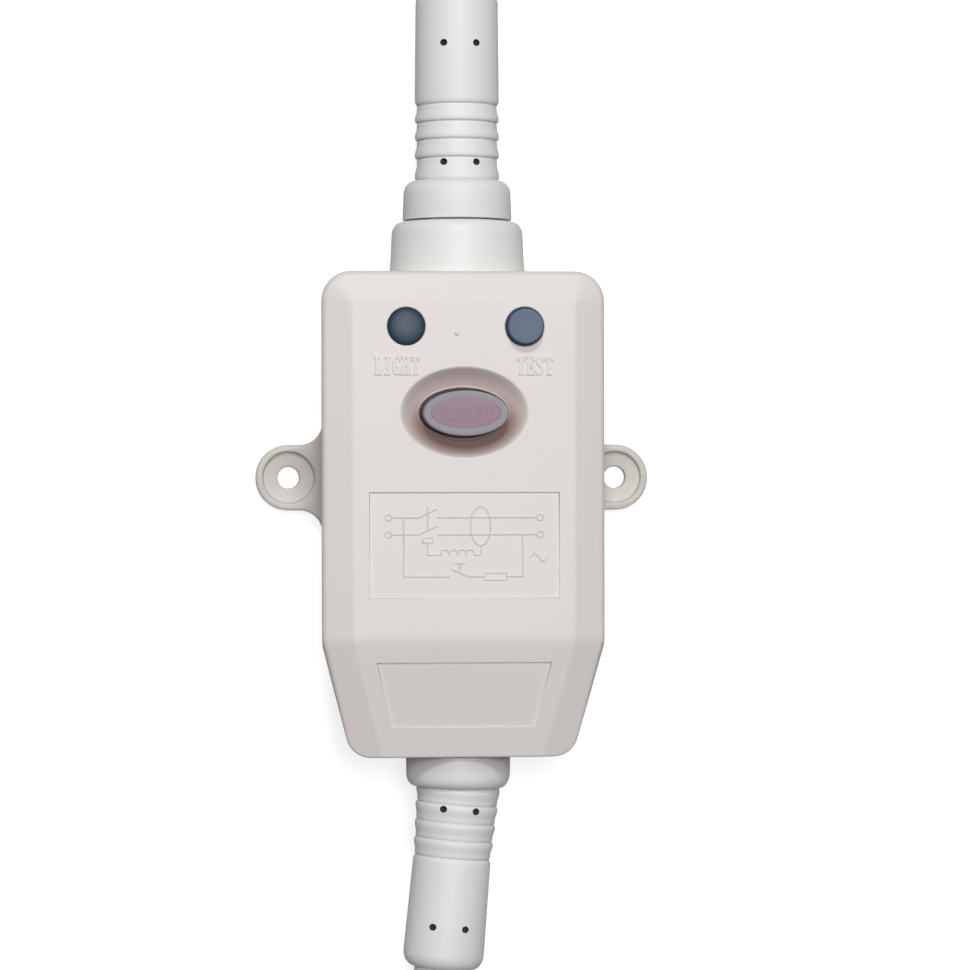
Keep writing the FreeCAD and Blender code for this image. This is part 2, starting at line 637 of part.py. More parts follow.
ears = []
ear_cuts = []
for number, side in enumerate(SIDES):
    turn = Rotation(Vector(0, 0, 1), 0)
    web_end = f"{side} * (ear_x - flare_start)"
    ears += [
        rod(f"ear_end{number}", "ear_radius", "ear_thickness", f"{side} * ear_x", "ear_y", 0),
        block(f"ear_neck{number}", "2 * flare_start", "2 * ear_radius", "ear_thickness", web_end, "ear_y", 0),
        block(f"ear_web{number}", "ear_x - flare_start - 22", "2 * (ear_radius + flare_radius)", "ear_thickness",
              f"{side} * (ear_x - flare_start + 22) / 2", "ear_y", 0),
    ]
    ear_cuts += [
        rod(f"ear_hole{number}", "ear_hole_radius", 10, f"{side} * ear_x", "ear_y", -1),
        rod(f"ear_sink{number}", "ear_sink_radius", 10, f"{side} * ear_x", "ear_y", "ear_thickness - ear_sink_depth"),
        *(rod(f"flare{number}{other}", "flare_radius", 10, web_end,
              f"ear_y + {other - 1} * (ear_radius + flare_radius)", -1) for other in (0, 2)),
    ]
    ear_cuts += [
        block(f"web_trim{number}{other}", "2 * flare_radius", "flare_radius", 10,
              f"{side} * (ear_x - flare_start + flare_radius)", f"ear_y + {other - 1} * (ear_radius + flare_radius / 2)", -1)
        for other in (0, 2)
    ]
rear_shell = cut("rear_shell", shared("rear_block", outside, lower), [cavity])
tongue = cut("tongue", shared("tongue_block", tongue_hull, lip_slab), [cavity])
posts = []
for label, spot in (("post", "post_y"), ("low_post", "low_post_y")):
    for number, side in enumerate(SIDES):
        x = f"{side} * post_offset"
        posts.append(rod(f"{label}{number}", "post_radius", "board_height - floor_thickness / 2", x, spot, "floor_thickness / 2"))
        posts.append(rod(f"{label}_peg{number}", "peg_radius", "peg_height + 1", x, spot, "board_height - 1"))
rear_inside = shared("rear_inside", shared("rear_lower", outside, lower), fuse("rear_columns", [
    *bosses("rear_boss", "boss_radius", 0, "axis_height"),
    *posts,
    block("rear_holder", "holder_width", "holder_thickness", "axis_height", 0, "inner_bottom + holder_thickness / 2", 0),
    block("clamp_cradle", "clamp_length", "clamp_width", "axis_height", 0, "clamp_y", 0),
]))
rear_cuts = [
    *bosses("rear_bore", "screw_radius + screw_play", -1, "case_height"),
    *bosses("rear_sink", "head_radius + small_gap", -1, "screw_sink + 1"),
    rod("clamp_bore0", "screw_radius + screw_play", "axis_height", "-clamp_screw_offset", "clamp_y", "floor_thickness + 2"),
    rod("clamp_bore1", "screw_radius + screw_play", "axis_height", "clamp_screw_offset", "clamp_y", "floor_thickness + 2"),
    trench("rear_collar_passage", "inner_top - 1", "case_top + 1", "spigot_radius"),
    trench("rear_supply_passage", "case_bottom - 1", "inner_bottom", "supply_flange_radius", "recess_play"),
    trench("rear_neck_passage", "inner_bottom - 1", "inner_bottom + holder_thickness + 1", "neck_radius", "neck_play"),
    trench("clamp_groove", "clamp_y - clamp_width", "clamp_y + clamp_width", "cord_radius", "cord_play"),
]
rear_body = fuse("rear_body", [rear_shell, tongue, rear_inside, cut("ears", fuse("ear_blocks", ears), [*ear_cuts, cavity])])
rear_cover = subpart("rear_cover", cut("rear_cover", rear_body, rear_cuts))


# Outlet collar and the two boots

collar_wall = "wall + retainer_thickness"
outlet_collar = subpart("outlet_collar", turned("outlet_collar", [
    ("neck_radius + neck_play", f"-({collar_wall})"),
    ("retainer_radius", f"-({collar_wall})"),
    ("retainer_radius", "-wall"),
    ("spigot_radius", "-wall"),
    ("spigot_radius", "0"),
    ("collar_radius", "0"),
    ("collar_end_radius", "collar_length"),
    ("neck_radius + neck_play", "collar_length"),
], 0, "case_top", "axis_height", ALONG_Y, [("collar_rounding", [6]), ("0.4", [5])]))


def ribs(boot):
    """Corners of a boot's ribs and barrel, seen as (radius, distance from the flange's seat)."""
    start, pitch, rib = f"{boot}_flange_length", f"{boot}_rib_pitch", f"{boot}_rib_radius"
    corners = []
    for number in range(5):
        low, high = f"{start} + {number} * {pitch}", f"{start} + {number} * {pitch} + groove_width"
        after = rib if number < 4 else f"{boot}_barrel_radius"
        corners += [(f"{rib} - groove_depth", low), (f"{rib} - groove_depth", high), (after, high)]
        if number < 4:
            corners.append((rib, f"{start} + {number + 1} * {pitch}"))
    return corners


def pin_holes(boot, inward):
    """Mould pin holes on the upper side, in two pairs."""
    made = []
    for number, distance in enumerate(("pin_hole_near", "pin_hole_far")):
        for side in SIDES:
            made.append(rod(f"{boot}_pin_hole{number}{side + 1}", "pin_hole_radius", 9,
                            f"{side} * pin_hole_spacing / 2", f"{inward} * {distance}", "pin_hole_floor"))
    return made


neck = "(collar_length + wall + retainer_thickness + boot_gap + small_gap)"
outlet_ribs = ribs("outlet")
outlet_form = turned("outlet_boot_form", [
    ("bore_radius", f"-{neck} - anchor_thickness"),
    ("anchor_radius", f"-{neck} - anchor_thickness"),
    ("anchor_radius", f"-{neck}"),
    ("neck_radius", f"-{neck}"),
    ("neck_radius", "0"),
    ("outlet_flange_radius", "0"),
    ("outlet_flange_radius", "outlet_flange_length"),
    *outlet_ribs,
    ("outlet_end_radius", "outlet_boot_length"),
    ("bore_radius", "outlet_boot_length"),
], 0, 0, 0, ALONG_Y, [
    ("boot_rounding", [6, 7 + len(outlet_ribs)]),
    ("0.6", [9, 10, 13, 14, 17, 18, 21, 22, 25]),
])
outlet_boot = subpart("outlet_boot", put(
    cut("outlet_boot", outlet_form, pin_holes("outlet", 1)), 0, "case_top + collar_length + boot_gap", "axis_height"
))

LEAN = Rotation(Vector(0, 0, 1), -value("supply_tilt"))
seat_of_lean = (
    "sin(supply_tilt * 1 deg) * bend_distance", "bend_y + cos(supply_tilt * 1 deg) * bend_distance", "axis_height"
)


def bent_core(name, radius, start, length):
    """A round core that runs along the cable axis to the bend and on through the leaning boot."""
    ball = put(bind(doc.addObject("Part::Sphere", name + "_ball"), {"Radius": radius}), 0, "bend_y", "axis_height")
    return fuse(name, [
        rod(name + "_straight", radius, f"({start}) - bend_y", 0, "bend_y", "axis_height", ALONG_Y),
        rod(name + "_leaning", radius, length, 0, "bend_y", "axis_height", LEAN * AGAINST_Y),
        ball,
    ])


supply_form = turned("supply_straight", [
    ("bore_radius - 1", "-wall - holder_thickness - small_gap - anchor_thickness"),
    ("anchor_radius", "-wall - holder_thickness - small_gap - anchor_thickness"),
    ("anchor_radius", "-wall - holder_thickness - small_gap"),
    ("neck_radius", "-wall - holder_thickness - small_gap"),
    ("neck_radius", "-wall"),
    ("supply_flange_radius", "-wall"),
    ("supply_flange_radius", "supply_flange_length"),
    ("bore_radius - 1", "supply_flange_length"),
], 0, "case_bottom", "axis_height", AGAINST_Y, [("boot_rounding", [6])])
supply_ribs = ribs("supply")
supply_bent = turned("supply_bent", [
    ("bore_radius - 1", "-1"),
    ("supply_rib_radius", "-1"),
    ("supply_rib_radius", "supply_flange_length - 0.5"),
    ("supply_rib_radius - groove_depth", "supply_flange_length - 0.5"),
    *supply_ribs[1:],
    ("supply_end_radius", "supply_boot_length"),
    ("bore_radius - 1", "supply_boot_length"),
], *seat_of_lean, LEAN * AGAINST_Y, [
    ("boot_rounding", [3 + len(supply_ribs)]),
    ("0.6", [5, 6, 9, 10, 13, 14, 17, 18]),
    ("0.3", [21]),
])
supply_holes = put(group("supply_holes", pin_holes("supply", -1)), *seat_of_lean, LEAN)
supply_boot = subpart("supply_boot", cut("supply_boot", fuse("supply_boot_form", [supply_form, supply_bent]), [
    bent_core("supply_bore", "bore_radius", "inner_bottom + 10", "supply_boot_length"), supply_holes,
]))


# Supply cable inside the boot and the case, its clamp and three conductors

jacket = subpart("supply_cord_tail", bent_core("supply_cord_tail", "cord_radius", "jacket_y", "tilted_length"))
clamp_bar = cut("clamp_bar", block(
    "clamp_block", "clamp_length", "clamp_width", "clamp_top - axis_height - 2 * small_gap", 0, "clamp_y", "axis_height + 2 * small_gap"
), [
    trench("clamp_bar_groove", "clamp_y - clamp_width", "clamp_y + clamp_width", "cord_radius", "cord_play"),
    rod("clamp_bar_hole0", "screw_radius + small_gap", "case_height", "-clamp_screw_offset", "clamp_y", 0),
    rod("clamp_bar_hole1", "screw_radius + small_gap", "case_height", "clamp_screw_offset", "clamp_y", 0),
])
subpart("cord_clamp", clamp_bar)


def screw(name, length, x, y, z, turn=UPRIGHT, shank="screw_radius", head="head_radius", head_height="head_height"):
    """A screw whose head rests at the place given, the shank running down from it, with a cross slot."""
    body = turned(name, [
        ("0", f"-({length})"), (f"{shank} - 0.5", f"-({length})"), (shank, f"0.8 - ({length})"), (shank, "0"), (head, "0"),
        (head, head_height), ("0", head_height),
    ], 0, 0, 0, UPRIGHT, [("0.4", [5])])
    slots = [
        block(f"{name}_slot0", f"1.4 * {head}", "slot_width", 2, 0, 0, f"{head_height} - slot_depth"),
        block(f"{name}_slot1", "slot_width", f"1.4 * {head}", 2, 0, 0, f"{head_height} - slot_depth"),
    ]
    return put(cut(name + "_slotted", body, slots), x, y, z, turn)


subpart("clamp_screws", group("clamp_screws", [
    screw(f"clamp_screw{number}", "clamp_screw_length", f"{side} * clamp_screw_offset", "clamp_y", "clamp_top")
    for number, side in enumerate(SIDES)
]))
BACKWARD = Rotation(Vector(1, 0, 0), 180)
subpart("case_screws", group("case_screws", [
    screw(f"case_screw_{place}{number}", "screw_length", f"{side} * {place}_offset", f"{place}_y", "screw_sink", BACKWARD)
    for place in ("boss", "foot_boss") for number, side in enumerate(SIDES)
]))


# Reset button with its coloured insert, test button and lens

reset_form = fuse("reset_form", [
    oval("reset_column", "reset_length", "reset_width", "case_height + reset_rise - guide_z + reset_flange_height",
         0, "reset_y", "guide_z - reset_flange_height"),
    oval("reset_collar", "reset_length + 2 * reset_flange", "reset_width + 2 * reset_flange", "reset_flange_height",
         0, "reset_y", "guide_z - reset_flange_height"),
])
subpart("reset_button", cut("reset_button", reset_form, [
    oval("reset_hollow", "reset_length - 2 * reset_skin", "reset_width - 2 * reset_skin",
         "reset_roof_z - guide_z + reset_flange_height + 1", 0, "reset_y", "guide_z - reset_flange_height - 1"),
    oval("legend_seat", "legend_length + 2 * close_fit", "legend_width + 2 * close_fit", 9,
         0, "reset_y", "case_height + reset_rise - legend_height"),
    rod("stem_hole", "stem_radius + close_fit", 20, 0, "reset_y", "reset_roof_z - 5"),
]))
subpart("reset_core", fuse("reset_core", [
    oval("legend", "legend_length", "legend_width", "legend_height", 0, "reset_y", "case_height + reset_rise - legend_height"),
    rod("reset_stem", "stem_radius", "case_height + reset_rise - legend_height / 2 - stem_z", 0, "reset_y", "stem_z"),
]))
subpart("test_button", turned("test_button", [
    ("0", "test_stem_z"), ("test_stem_radius", "test_stem_z"), ("test_stem_radius", "test_flange_z"),
    ("test_radius + test_flange", "test_flange_z"), ("test_radius + test_flange", "roof_z"), ("test_radius", "roof_z"),
    ("test_radius", "case_height + test_rise"), ("0", "case_height + test_rise"),
], "test_offset", "lamp_y", 0, UPRIGHT, [("0.5", [6])]))
subpart("indicator_lens", turned("indicator_lens", [
    ("0", "roof_z - lens_flange_height"), ("lens_radius + lens_flange", "roof_z - lens_flange_height"),
    ("lens_radius + lens_flange", "roof_z"), ("lens_radius", "roof_z"), ("lens_radius", "case_height + lens_rise"),
    ("0", "case_height + lens_rise"),
], "-lens_offset", "lamp_y", 0, UPRIGHT, [("lens_rise - 0.1", [4])]))


def spring(name, radius, low, high, x, y, turns):
    """A coil spring that stands between two heights."""
    helix = doc.addObject("Part::Helix", name + "_line")
    rise = f"({high}) - ({low}) - 2 * spring_wire"
    bind(helix, {"Radius": radius, "Height": rise, "Pitch": f"({rise}) / {turns}"})
    wire = doc.addObject("Part::RegularPolygon", name + "_wire")
    wire.Polygon = 8
    bind(wire, {"Circumradius": "spring_wire"})
    put(wire, radius, 0, 0, AGAINST_Y)
    coil = doc.addObject("Part::Sweep", name)
    coil.Sections = [wire]
    coil.Spine = (helix, [])
    coil.Solid = True
    coil.Frenet = True
    return subpart(name, put(group(name + "_place", [coil]), x, y, f"{low} + spring_wire"))


spring("reset_spring", "reset_spring_radius", "frame_top", "reset_roof_z", 0, "reset_y", 6)
spring("test_spring", "test_spring_radius", "switch_top", "test_flange_z", "test_offset", "lamp_y", 8)
spring("carrier_spring", "carrier_spring_radius", "board_top", "carrier_bottom", 0, "reset_y", 3)
spring("plunger_spring", "plunger_spring_radius", "yoke_top", "head_z", "trip_x", "trip_y", 4)


# Circuit board with the contact set

board = block("board_plate", "board_width", "board_length", "board_thickness", 0, "board_y", "board_height")
peg_holes = [
    rod(f"{label}_hole{number}", "peg_radius + close_fit", 10, f"{side} * post_offset", spot, "board_height - 2")
    for label, spot in (("post", "post_y"), ("low_post", "low_post_y")) for number, side in enumerate(SIDES)
]
subpart("circuit_board", cut("circuit_board", board, peg_holes))

housing = block("housing_block", "frame_length", "frame_width", "frame_height", 0, "reset_y", "board_top")
lug_slots = [
    block(f"lug_slot{side + 1}", "fixed_width + 2 * close_fit", "frame_width + 5", "fixed_thickness + 2 * close_fit",
          f"{side} * bridge_offset", "reset_y", "fixed_z - close_fit")
    for side in SIDES
]
subpart("contact_housing", cut("contact_housing", housing, [
    block("housing_hollow", "frame_length - 2 * frame_wall", "frame_width - 2 * frame_wall", "frame_height - frame_wall + 5",
          0, "reset_y", "board_top - 5"),
    rod("housing_hole", "stem_radius + small_gap", 20, 0, "reset_y", "board_top"), *lug_slots,
]))

carrier_length = "frame_length - 2 * frame_wall - 2 * close_fit"
carrier_width = "frame_width - 2 * frame_wall - 2 * close_fit"
subpart("contact_carrier", block("contact_carrier", carrier_length, carrier_width, "carrier_thickness", 0, "reset_y", "carrier_bottom"))
bridges = []
for side in SIDES:
    x = f"{side} * bridge_offset"
    bridges.append(fuse(f"bridge{side + 1}", [
        block(f"bridge_bar{side + 1}", "bridge_width", "bridge_length", "bridge_thickness", x, "reset_y", "carrier_top"),
        *(rod(f"rivet{side + 1}{end + 1}", "rivet_radius", "rivet_height", x, f"reset_y + {end} * rivet_offset", "bridge_top")
          for end in SIDES),
    ]))
subpart("moving_contacts", group("moving_contacts", bridges))


def fixed_pair(name, end, reach):
    """Two fixed contacts that leave the housing at one side; reach is how far they go from its middle."""
    made = []
    for side in SIDES:
        made.append(block(
            f"{name}{side + 1}", "fixed_width", f"({reach}) - fixed_inset", "fixed_thickness", f"{side} * bridge_offset",
            f"reset_y + {end} * (({reach}) + fixed_inset) / 2", "fixed_z",
        ))
    return made


terminal_reach = "block_y - reset_y + terminal_head"
outlet_lugs = fixed_pair("outlet_lug", 1, terminal_reach)
earth_lug = block("earth_lug", "2 * terminal_head", "2 * terminal_head", "fixed_thickness", 0, "block_y", "block_top")
lug_holes = [
    rod(f"lug_hole{place + 1}", "terminal_radius + small_gap", 10, f"{place} * bridge_offset", "block_y", "block_top - 1")
    for place in (-1, 0, 1)
]
subpart("supply_contacts", group("supply_contacts", fixed_pair("supply_lug", -1, "frame_width / 2 + fixed_lug")))
subpart("outlet_contacts", group("outlet_contacts", [
    cut("outlet_lug_left", outlet_lugs[0], [lug_holes[0]]), cut("outlet_lug_right", outlet_lugs[1], [lug_holes[2]]),
]))
subpart("earth_contact", cut("earth_contact", earth_lug, [lug_holes[1]]))
block_cuts = []
for place in (-1, 0, 1):
    x = f"{place} * bridge_offset"
    block_cuts.append(rod(f"terminal_bore{place + 1}", "terminal_radius + close_fit", 9, x, "block_y", "block_top - terminal_length"))
    block_cuts.append(rod(f"wire_entry{place + 1}", "entry_radius", "block_width", x, "block_y - 1", "board_top + entry_height", ALONG_Y))
terminal_block = block("terminal_body", "block_length", "block_width", "block_height", 0, "block_y", "board_top")
subpart("terminal_block", cut("terminal_block", terminal_block, block_cuts))
subpart("terminal_screws", group("terminal_screws", [
    screw(f"terminal_screw{place + 1}", "terminal_length", f"{place} * bridge_offset", "block_y",
          "block_top + fixed_thickness", UPRIGHT, "terminal_radius", "terminal_head", "terminal_head_height")
    for place in (-1, 0, 1)
]))

# Current transformer on its cradle

ring = turned("ring_form", [
    ("ring_bore", "-ring_width / 2"), ("ring_radius", "-ring_width / 2"), ("ring_radius", "ring_width / 2"),
    ("ring_bore", "ring_width / 2"),
], 0, "ring_y", "ring_z", ALONG_Y, [("ring_rounding", [0, 1, 2, 3])])
subpart("current_transformer", ring)
cradle_block = block("cradle_block", "cradle_length", "ring_width + 2 * cradle_rim", "cradle_height", 0, "ring_y", "board_top")
subpart("transformer_cradle", cut("transformer_cradle", cradle_block, [
    rod("cradle_bed", "ring_radius + close_fit", "ring_width + 2 * close_fit", 0, "ring_y - ring_width / 2 - close_fit", "ring_z", ALONG_Y),
    rod("cradle_gate", "ring_bore + 1", "ring_width * 2", 0, "ring_y - ring_width", "ring_z", ALONG_Y),
]))

# Trip solenoid that stands on the board

yoke_reach = "former_radius + small_gap"
yoke_parts = [
    block("yoke_foot", "yoke_width", f"2 * ({yoke_reach}) + yoke_thickness", "yoke_thickness",
          "trip_x", "trip_y - yoke_thickness / 2", "board_top"),
    block("yoke_bridge", "yoke_width", f"2 * ({yoke_reach}) + yoke_thickness", "yoke_thickness",
          "trip_x", "trip_y - yoke_thickness / 2", "yoke_top - yoke_thickness"),
    block("yoke_back", "yoke_width", "yoke_thickness", "yoke_top - board_top",
          "trip_x", f"trip_y - ({yoke_reach}) - yoke_thickness / 2", "board_top"),
]
subpart("trip_yoke", cut("trip_yoke", fuse("yoke_form", yoke_parts), [
    rod("yoke_hole", "plunger_radius + small_gap", 8, "trip_x", "trip_y", "yoke_top - 4"),
]))
winding_low, winding_high = "former_z + former_flange", "former_z + former_length - former_flange"
subpart("trip_bobbin", turned("trip_bobbin", [
    ("plunger_radius + close_fit", "former_z"), ("former_radius", "former_z"), ("former_radius", winding_low),
    ("tube_radius", winding_low), ("tube_radius", winding_high), ("former_radius", winding_high),
    ("former_radius", "former_z + former_length"), ("plunger_radius + close_fit", "former_z + former_length"),
], "trip_x", "trip_y", 0))
subpart("trip_winding", turned("trip_winding", [
    ("tube_radius", winding_low), ("winding_radius", winding_low), ("winding_radius", winding_high), ("tube_radius", winding_high),
], "trip_x", "trip_y", 0))
arm_end = "(reset_y - frame_width / 2 - plunger_stop)"
subpart("trip_plunger", fuse("trip_plunger", [
    rod("plunger_core", "plunger_radius", "head_z - former_z - plunger_reserve + 0.5", "trip_x", "trip_y", "former_z + plunger_reserve"),
    rod("plunger_head", "plunger_head_radius", "plunger_head_length", "trip_x", "trip_y", "head_z"),
    block("trip_arm", "plunger_arm_width", f"{arm_end} - trip_y", "plunger_head_length", "trip_x", f"({arm_end} + trip_y) / 2", "head_z"),
    block("trip_leg", "plunger_arm_width", "plunger_head_length", "plunger_arm_drop", "trip_x", f"{arm_end} - plunger_head_length / 2",
          "head_z + plunger_head_length - plunger_arm_drop"),
]))

# Test switch, lamp and the other components on the board

subpart("test_switch", fuse("test_switch", [
    block("switch_body", "switch_size", "switch_size", "switch_height", "test_offset", "lamp_y", "board_top"),
    rod("switch_key", "switch_key_radius", "switch_key_height", "test_offset", "lamp_y", "switch_top"),
]))
lamp = turned("lamp_glass", [
    ("0", "lamp_foot"), ("lamp_radius", "lamp_foot"), ("lamp_radius", "lamp_foot + lamp_height"), ("0", "lamp_foot + lamp_height"),
], "-lens_offset", "lamp_y", "board_top", UPRIGHT, [("1.8", [2])])
subpart("indicator_lamp", fuse("indicator_lamp", [
    lamp,
    rod("lamp_lead0", "lead_radius", "lamp_foot + 0.5", "-lens_offset - 1.2", "lamp_y", "board_top"),
    rod("lamp_lead1", "lead_radius", "lamp_foot + 0.5", "-lens_offset + 1.2", "lamp_y", "board_top"),
]))


def board_box(name, length, width, height, x, distance):
    """A block-shaped component; distance is measured down from the outlet end of the case."""
    return subpart(name, block(name, length, width, height, x, f"case_top - {distance}", "board_top"))


board_box("film_capacitor", 5.5, 13, 10.5, 13, 46.7)
subpart("varistor", fuse("varistor", [
    rod("varistor_disc", 3.8, 3, 6.3, "case_top - 49.6", "board_top + 5.2", ALONG_X),
    rod("varistor_lead0", "lead_radius", 3, 7.8, "case_top - 51.4", "board_top"),
    rod("varistor_lead1", "lead_radius", 3, 7.8, "case_top - 47.8", "board_top"),
]))
subpart("smoothing_capacitor", turned("smoothing_capacitor", [
    ("0", "0"), ("2.4", "0"), ("2.4", "9"), ("0", "9"),
], 14.2, "case_top - 58.2", "board_top", UPRIGHT, [("0.5", [1, 2])]))
chip_parts = [block("chip_body", 5, 9, 1.7, 0.4, "case_top - 51.2", "board_top + 0.4")]
for number in range(4):
    row = f"case_top - 51.2 + {number - 1.5} * 2.2"
    chip_parts.append(block(f"chip_legs{number}", 7, 0.7, 0.5, 0.4, row, "board_top"))
    chip_parts.append(block(f"chip_bend{number}", 5.6, 0.7, 1.2, 0.4, row, "board_top"))
subpart("control_chip", fuse("control_chip", chip_parts))


def axial(name, radius, x, distance):
    """A resistor or diode that lies along the board, with its two bent leads."""
    y = f"case_top - {distance}"
    parts = [rod(f"{name}_body", radius, 5.6, x, f"{y} - 2.8", f"board_top + {radius} + 0.3", ALONG_Y)]
    for side in SIDES:
        parts.append(rod(f"{name}_wire{side + 1}", "lead_radius", 1.7, x, f"{y} + {side} * 3.6 - 0.85", f"board_top + {radius} + 0.3", ALONG_Y))
        parts.append(block(f"{name}_foot{side + 1}", 0.5, 0.5, f"{radius} + 0.3", x, f"{y} + {side} * 4.15", "board_top"))
    return fuse(name, parts)


subpart("resistors", group("resistors", [axial("resistor0", 1.1, -4.2, 41.2), axial("resistor1", 1.1, -0.8, 41.2)]))
subpart("rectifier_diode", axial("rectifier_diode", 1.2, 3.0, 41.2))


# Conductors and the cable outside

def route(points, radii):
    """A line of straight runs joined by tangent arcs."""
    edges = []
    start = points[0]
    for number in range(1, len(points) - 1):
        before = (points[number - 1] - points[number]).normalize()
        after = (points[number + 1] - points[number]).normalize()
        turn = math.pi - before.getAngle(after)
        reach = radii[number - 1] * math.tan(turn / 2)
        enter, leave = points[number] + before * reach, points[number] + after * reach
        inward = (before + after).normalize()
        middle = points[number] + inward * (radii[number - 1] / math.cos(turn / 2) - radii[number - 1])
        edges += [Part.LineSegment(start, enter).toShape(), Part.Arc(enter, middle, leave).toShape()]
        start = leave
    edges.append(Part.LineSegment(start, points[-1]).toShape())
    return Part.Wire(edges)


def tube(line, radius):
    """A round solid along a line, square to it at its start."""
    first = line.OrderedEdges[0]
    start, along = first.valueAt(first.FirstParameter), first.tangentAt(first.FirstParameter)
    ring_line = Part.Wire(Part.Edge(Part.Circle(start, along, radius)))
    return line.makePipeShell([ring_line], True, False)


def conductor(name, points):
    """An insulated conductor through the points, with bends of two of its diameters."""
    bend = 2.0 * value("core_radius")
    return shape(name, tube(route([Vector(*point) for point in points], [bend] * (len(points) - 2)), value("core_radius")))


jacket_y, axis, ring_y, ring_z = value("jacket_y"), value("axis_height"), value("ring_y"), value("ring_z")
lug_y = value("reset_y") - value("frame_width") / 2 - value("fixed_lug")
lug_z = value("fixed_z") + value("fixed_thickness") / 2
for name, side in (("live_conductor", -1), ("neutral_conductor", 1)):
    subpart(name, conductor(name, [
        (side * 2.2, jacket_y, axis - 1.2), (side * 2.2, jacket_y + 4, axis - 1.2), (side * 2.0, ring_y - 5.5, ring_z),
        (side * 2.0, ring_y + 6, ring_z), (side * 2.6, lug_y - 9, ring_z), (side * 7.0, lug_y - 3.2, lug_z), (side * 7.0, lug_y, lug_z),
    ]))
earth_x, earth_y = 10.1, value("case_top") - 58.5
subpart("earth_conductor", conductor("earth_conductor", [
    (0, jacket_y, axis + 2.6), (0, jacket_y + 3, axis + 2.6), (earth_x, jacket_y + 4.5, axis + 1),
    (earth_x, earth_y, axis - 0.5), (earth_x, earth_y, value("board_top")),
]))


def course(heading, slope):
    """The direction of a run: degrees left of the way to the reader, and degrees down."""
    turn, fall = math.radians(heading), math.radians(slope)
    return Vector(-math.sin(turn) * math.cos(fall), -math.cos(turn) * math.cos(fall), -math.sin(fall))


# Headings and slopes of the free cable, in degrees; the three sloping runs share the drop to the ground
COURSES = [(value("supply_tilt"), 0), (value("supply_tilt"), 10), (11.0, 18), (17.0, 10), (22.0, 0), (31.0, 0)]
low, high = value("low_turn"), value("high_turn")
drop_run = (axis - low) / sum(math.sin(math.radians(slope)) for heading, slope in COURSES)
runs = [value("first_run"), drop_run, drop_run, drop_run, value("lay_run"), value("last_run")]
points = [Vector(0, value("bend_y"), axis) + course(*COURSES[0]) * value("tilted_length")]
for length, (heading, slope) in zip(runs, COURSES):
    points.append(points[-1] + course(heading, slope) * length)
radii = []
for number in range(1, len(points) - 1):
    back, ahead = points[number - 1] - points[number], points[number + 1] - points[number]
    turn = math.pi - back.getAngle(ahead)
    radii.append(0.45 * min(back.Length, ahead.Length) / math.tan(turn / 2))
free_line = route(points, radii)
free_cord = tube(free_line, value("cord_radius"))
subpart("supply_cord", shape("supply_cord", free_cord))
print("free cable: bends", [round(radius, 1) for radius in radii], "length", round(free_line.Length, 1))
section = math.pi * value("cord_radius") ** 2
print("free cable: volume over section times length", round(free_cord.Volume / section / free_line.Length, 4))

# Coil of one and a half turns in two layers, from the cable's end to the plug
heading_in = math.radians(COURSES[-1][0])
along_in = course(COURSES[-1][0], 0)
coil_start = points[-1] + along_in * value("coil_lead")
big = value("coil_radius")
middle = coil_start + Vector(math.cos(heading_in), -math.sin(heading_in), 0) * big
TURN_START, TURN_END = math.pi - heading_in, 4 * math.pi
CLIMB_START, CLIMB_END, LIFT_START = math.radians(388), math.radians(460), math.radians(640)


def eased(share):
    """A smooth step from nought to one."""
    share = min(1.0, max(0.0, share))
    return share * share * (3 - 2 * share)


def coil_height(angle):
    """Height of the cable's middle along the coil, with a small lift before the plug."""
    climbed = eased((angle - CLIMB_START) / (CLIMB_END - CLIMB_START))
    lifted = eased((angle - LIFT_START) / (TURN_END - LIFT_START))
    return low + (high - low) * climbed + value("plug_lift") * lifted


def coil_point(angle):
    return Vector(middle.x + big * math.cos(angle), middle.y + big * math.sin(angle), coil_height(angle))


plug_start = coil_point(TURN_END) + Vector(0, value("plug_lead"), 0)
turns = math.ceil((TURN_END - TURN_START) / math.radians(3))
coil_spots = [points[-1], points[-1] + along_in * value("coil_lead") / 2]
coil_spots += [coil_point(TURN_START + (TURN_END - TURN_START) * step / turns) for step in range(turns + 1)]
coil_spots += [coil_point(TURN_END) + Vector(0, value("plug_lead") * share, 0) for share in (0.2, 0.4, 0.6, 0.8, 1)]
coil_curve = Part.BSplineCurve()
coil_curve.interpolate(coil_spots)
coil_line = Part.Wire(coil_curve.toShape())
coil_cord = tube(coil_line, value("cord_radius"))
subpart("supply_cord_coil", shape("supply_cord_coil", coil_cord))
print("coil: length", round(coil_line.Length, 1), "volume ratio", round(coil_cord.Volume / section / coil_line.Length, 4))


def least_gap():
    """The least gap of the whole cable to itself, over points more than four diameters apart along it."""
    spots = [spot for line in (free_line, coil_line) for spot in line.discretize(Number=int(line.Length))]
    apart = int(8 * value("cord_radius"))
    closest = min(
        one.distanceToPoint(two)
        for number, one in enumerate(spots) for two in spots[number + apart:]
    )
    return closest - 2 * value("cord_radius")


print("cable: least gap to itself", round(least_gap(), 2), "middle of the coil", middle)

tie_angle = math.radians(250)
tie_turn = Rotation(Vector(0, 0, 1), 250)


def strap(name, radius, width):
    """A stadium-shaped column round both layers, square to the cable."""
    parts = [
        rod(name + "_low", radius, width, 0, f"-({width}) / 2", "low_turn", ALONG_Y),
        rod(name + "_high", radius, width, 0, f"-({width}) / 2", "high_turn", ALONG_Y),
        block(name + "_web", f"2 * ({radius})", width, "high_turn - low_turn", 0, 0, "low_turn"),
    ]
    return fuse(name, parts)


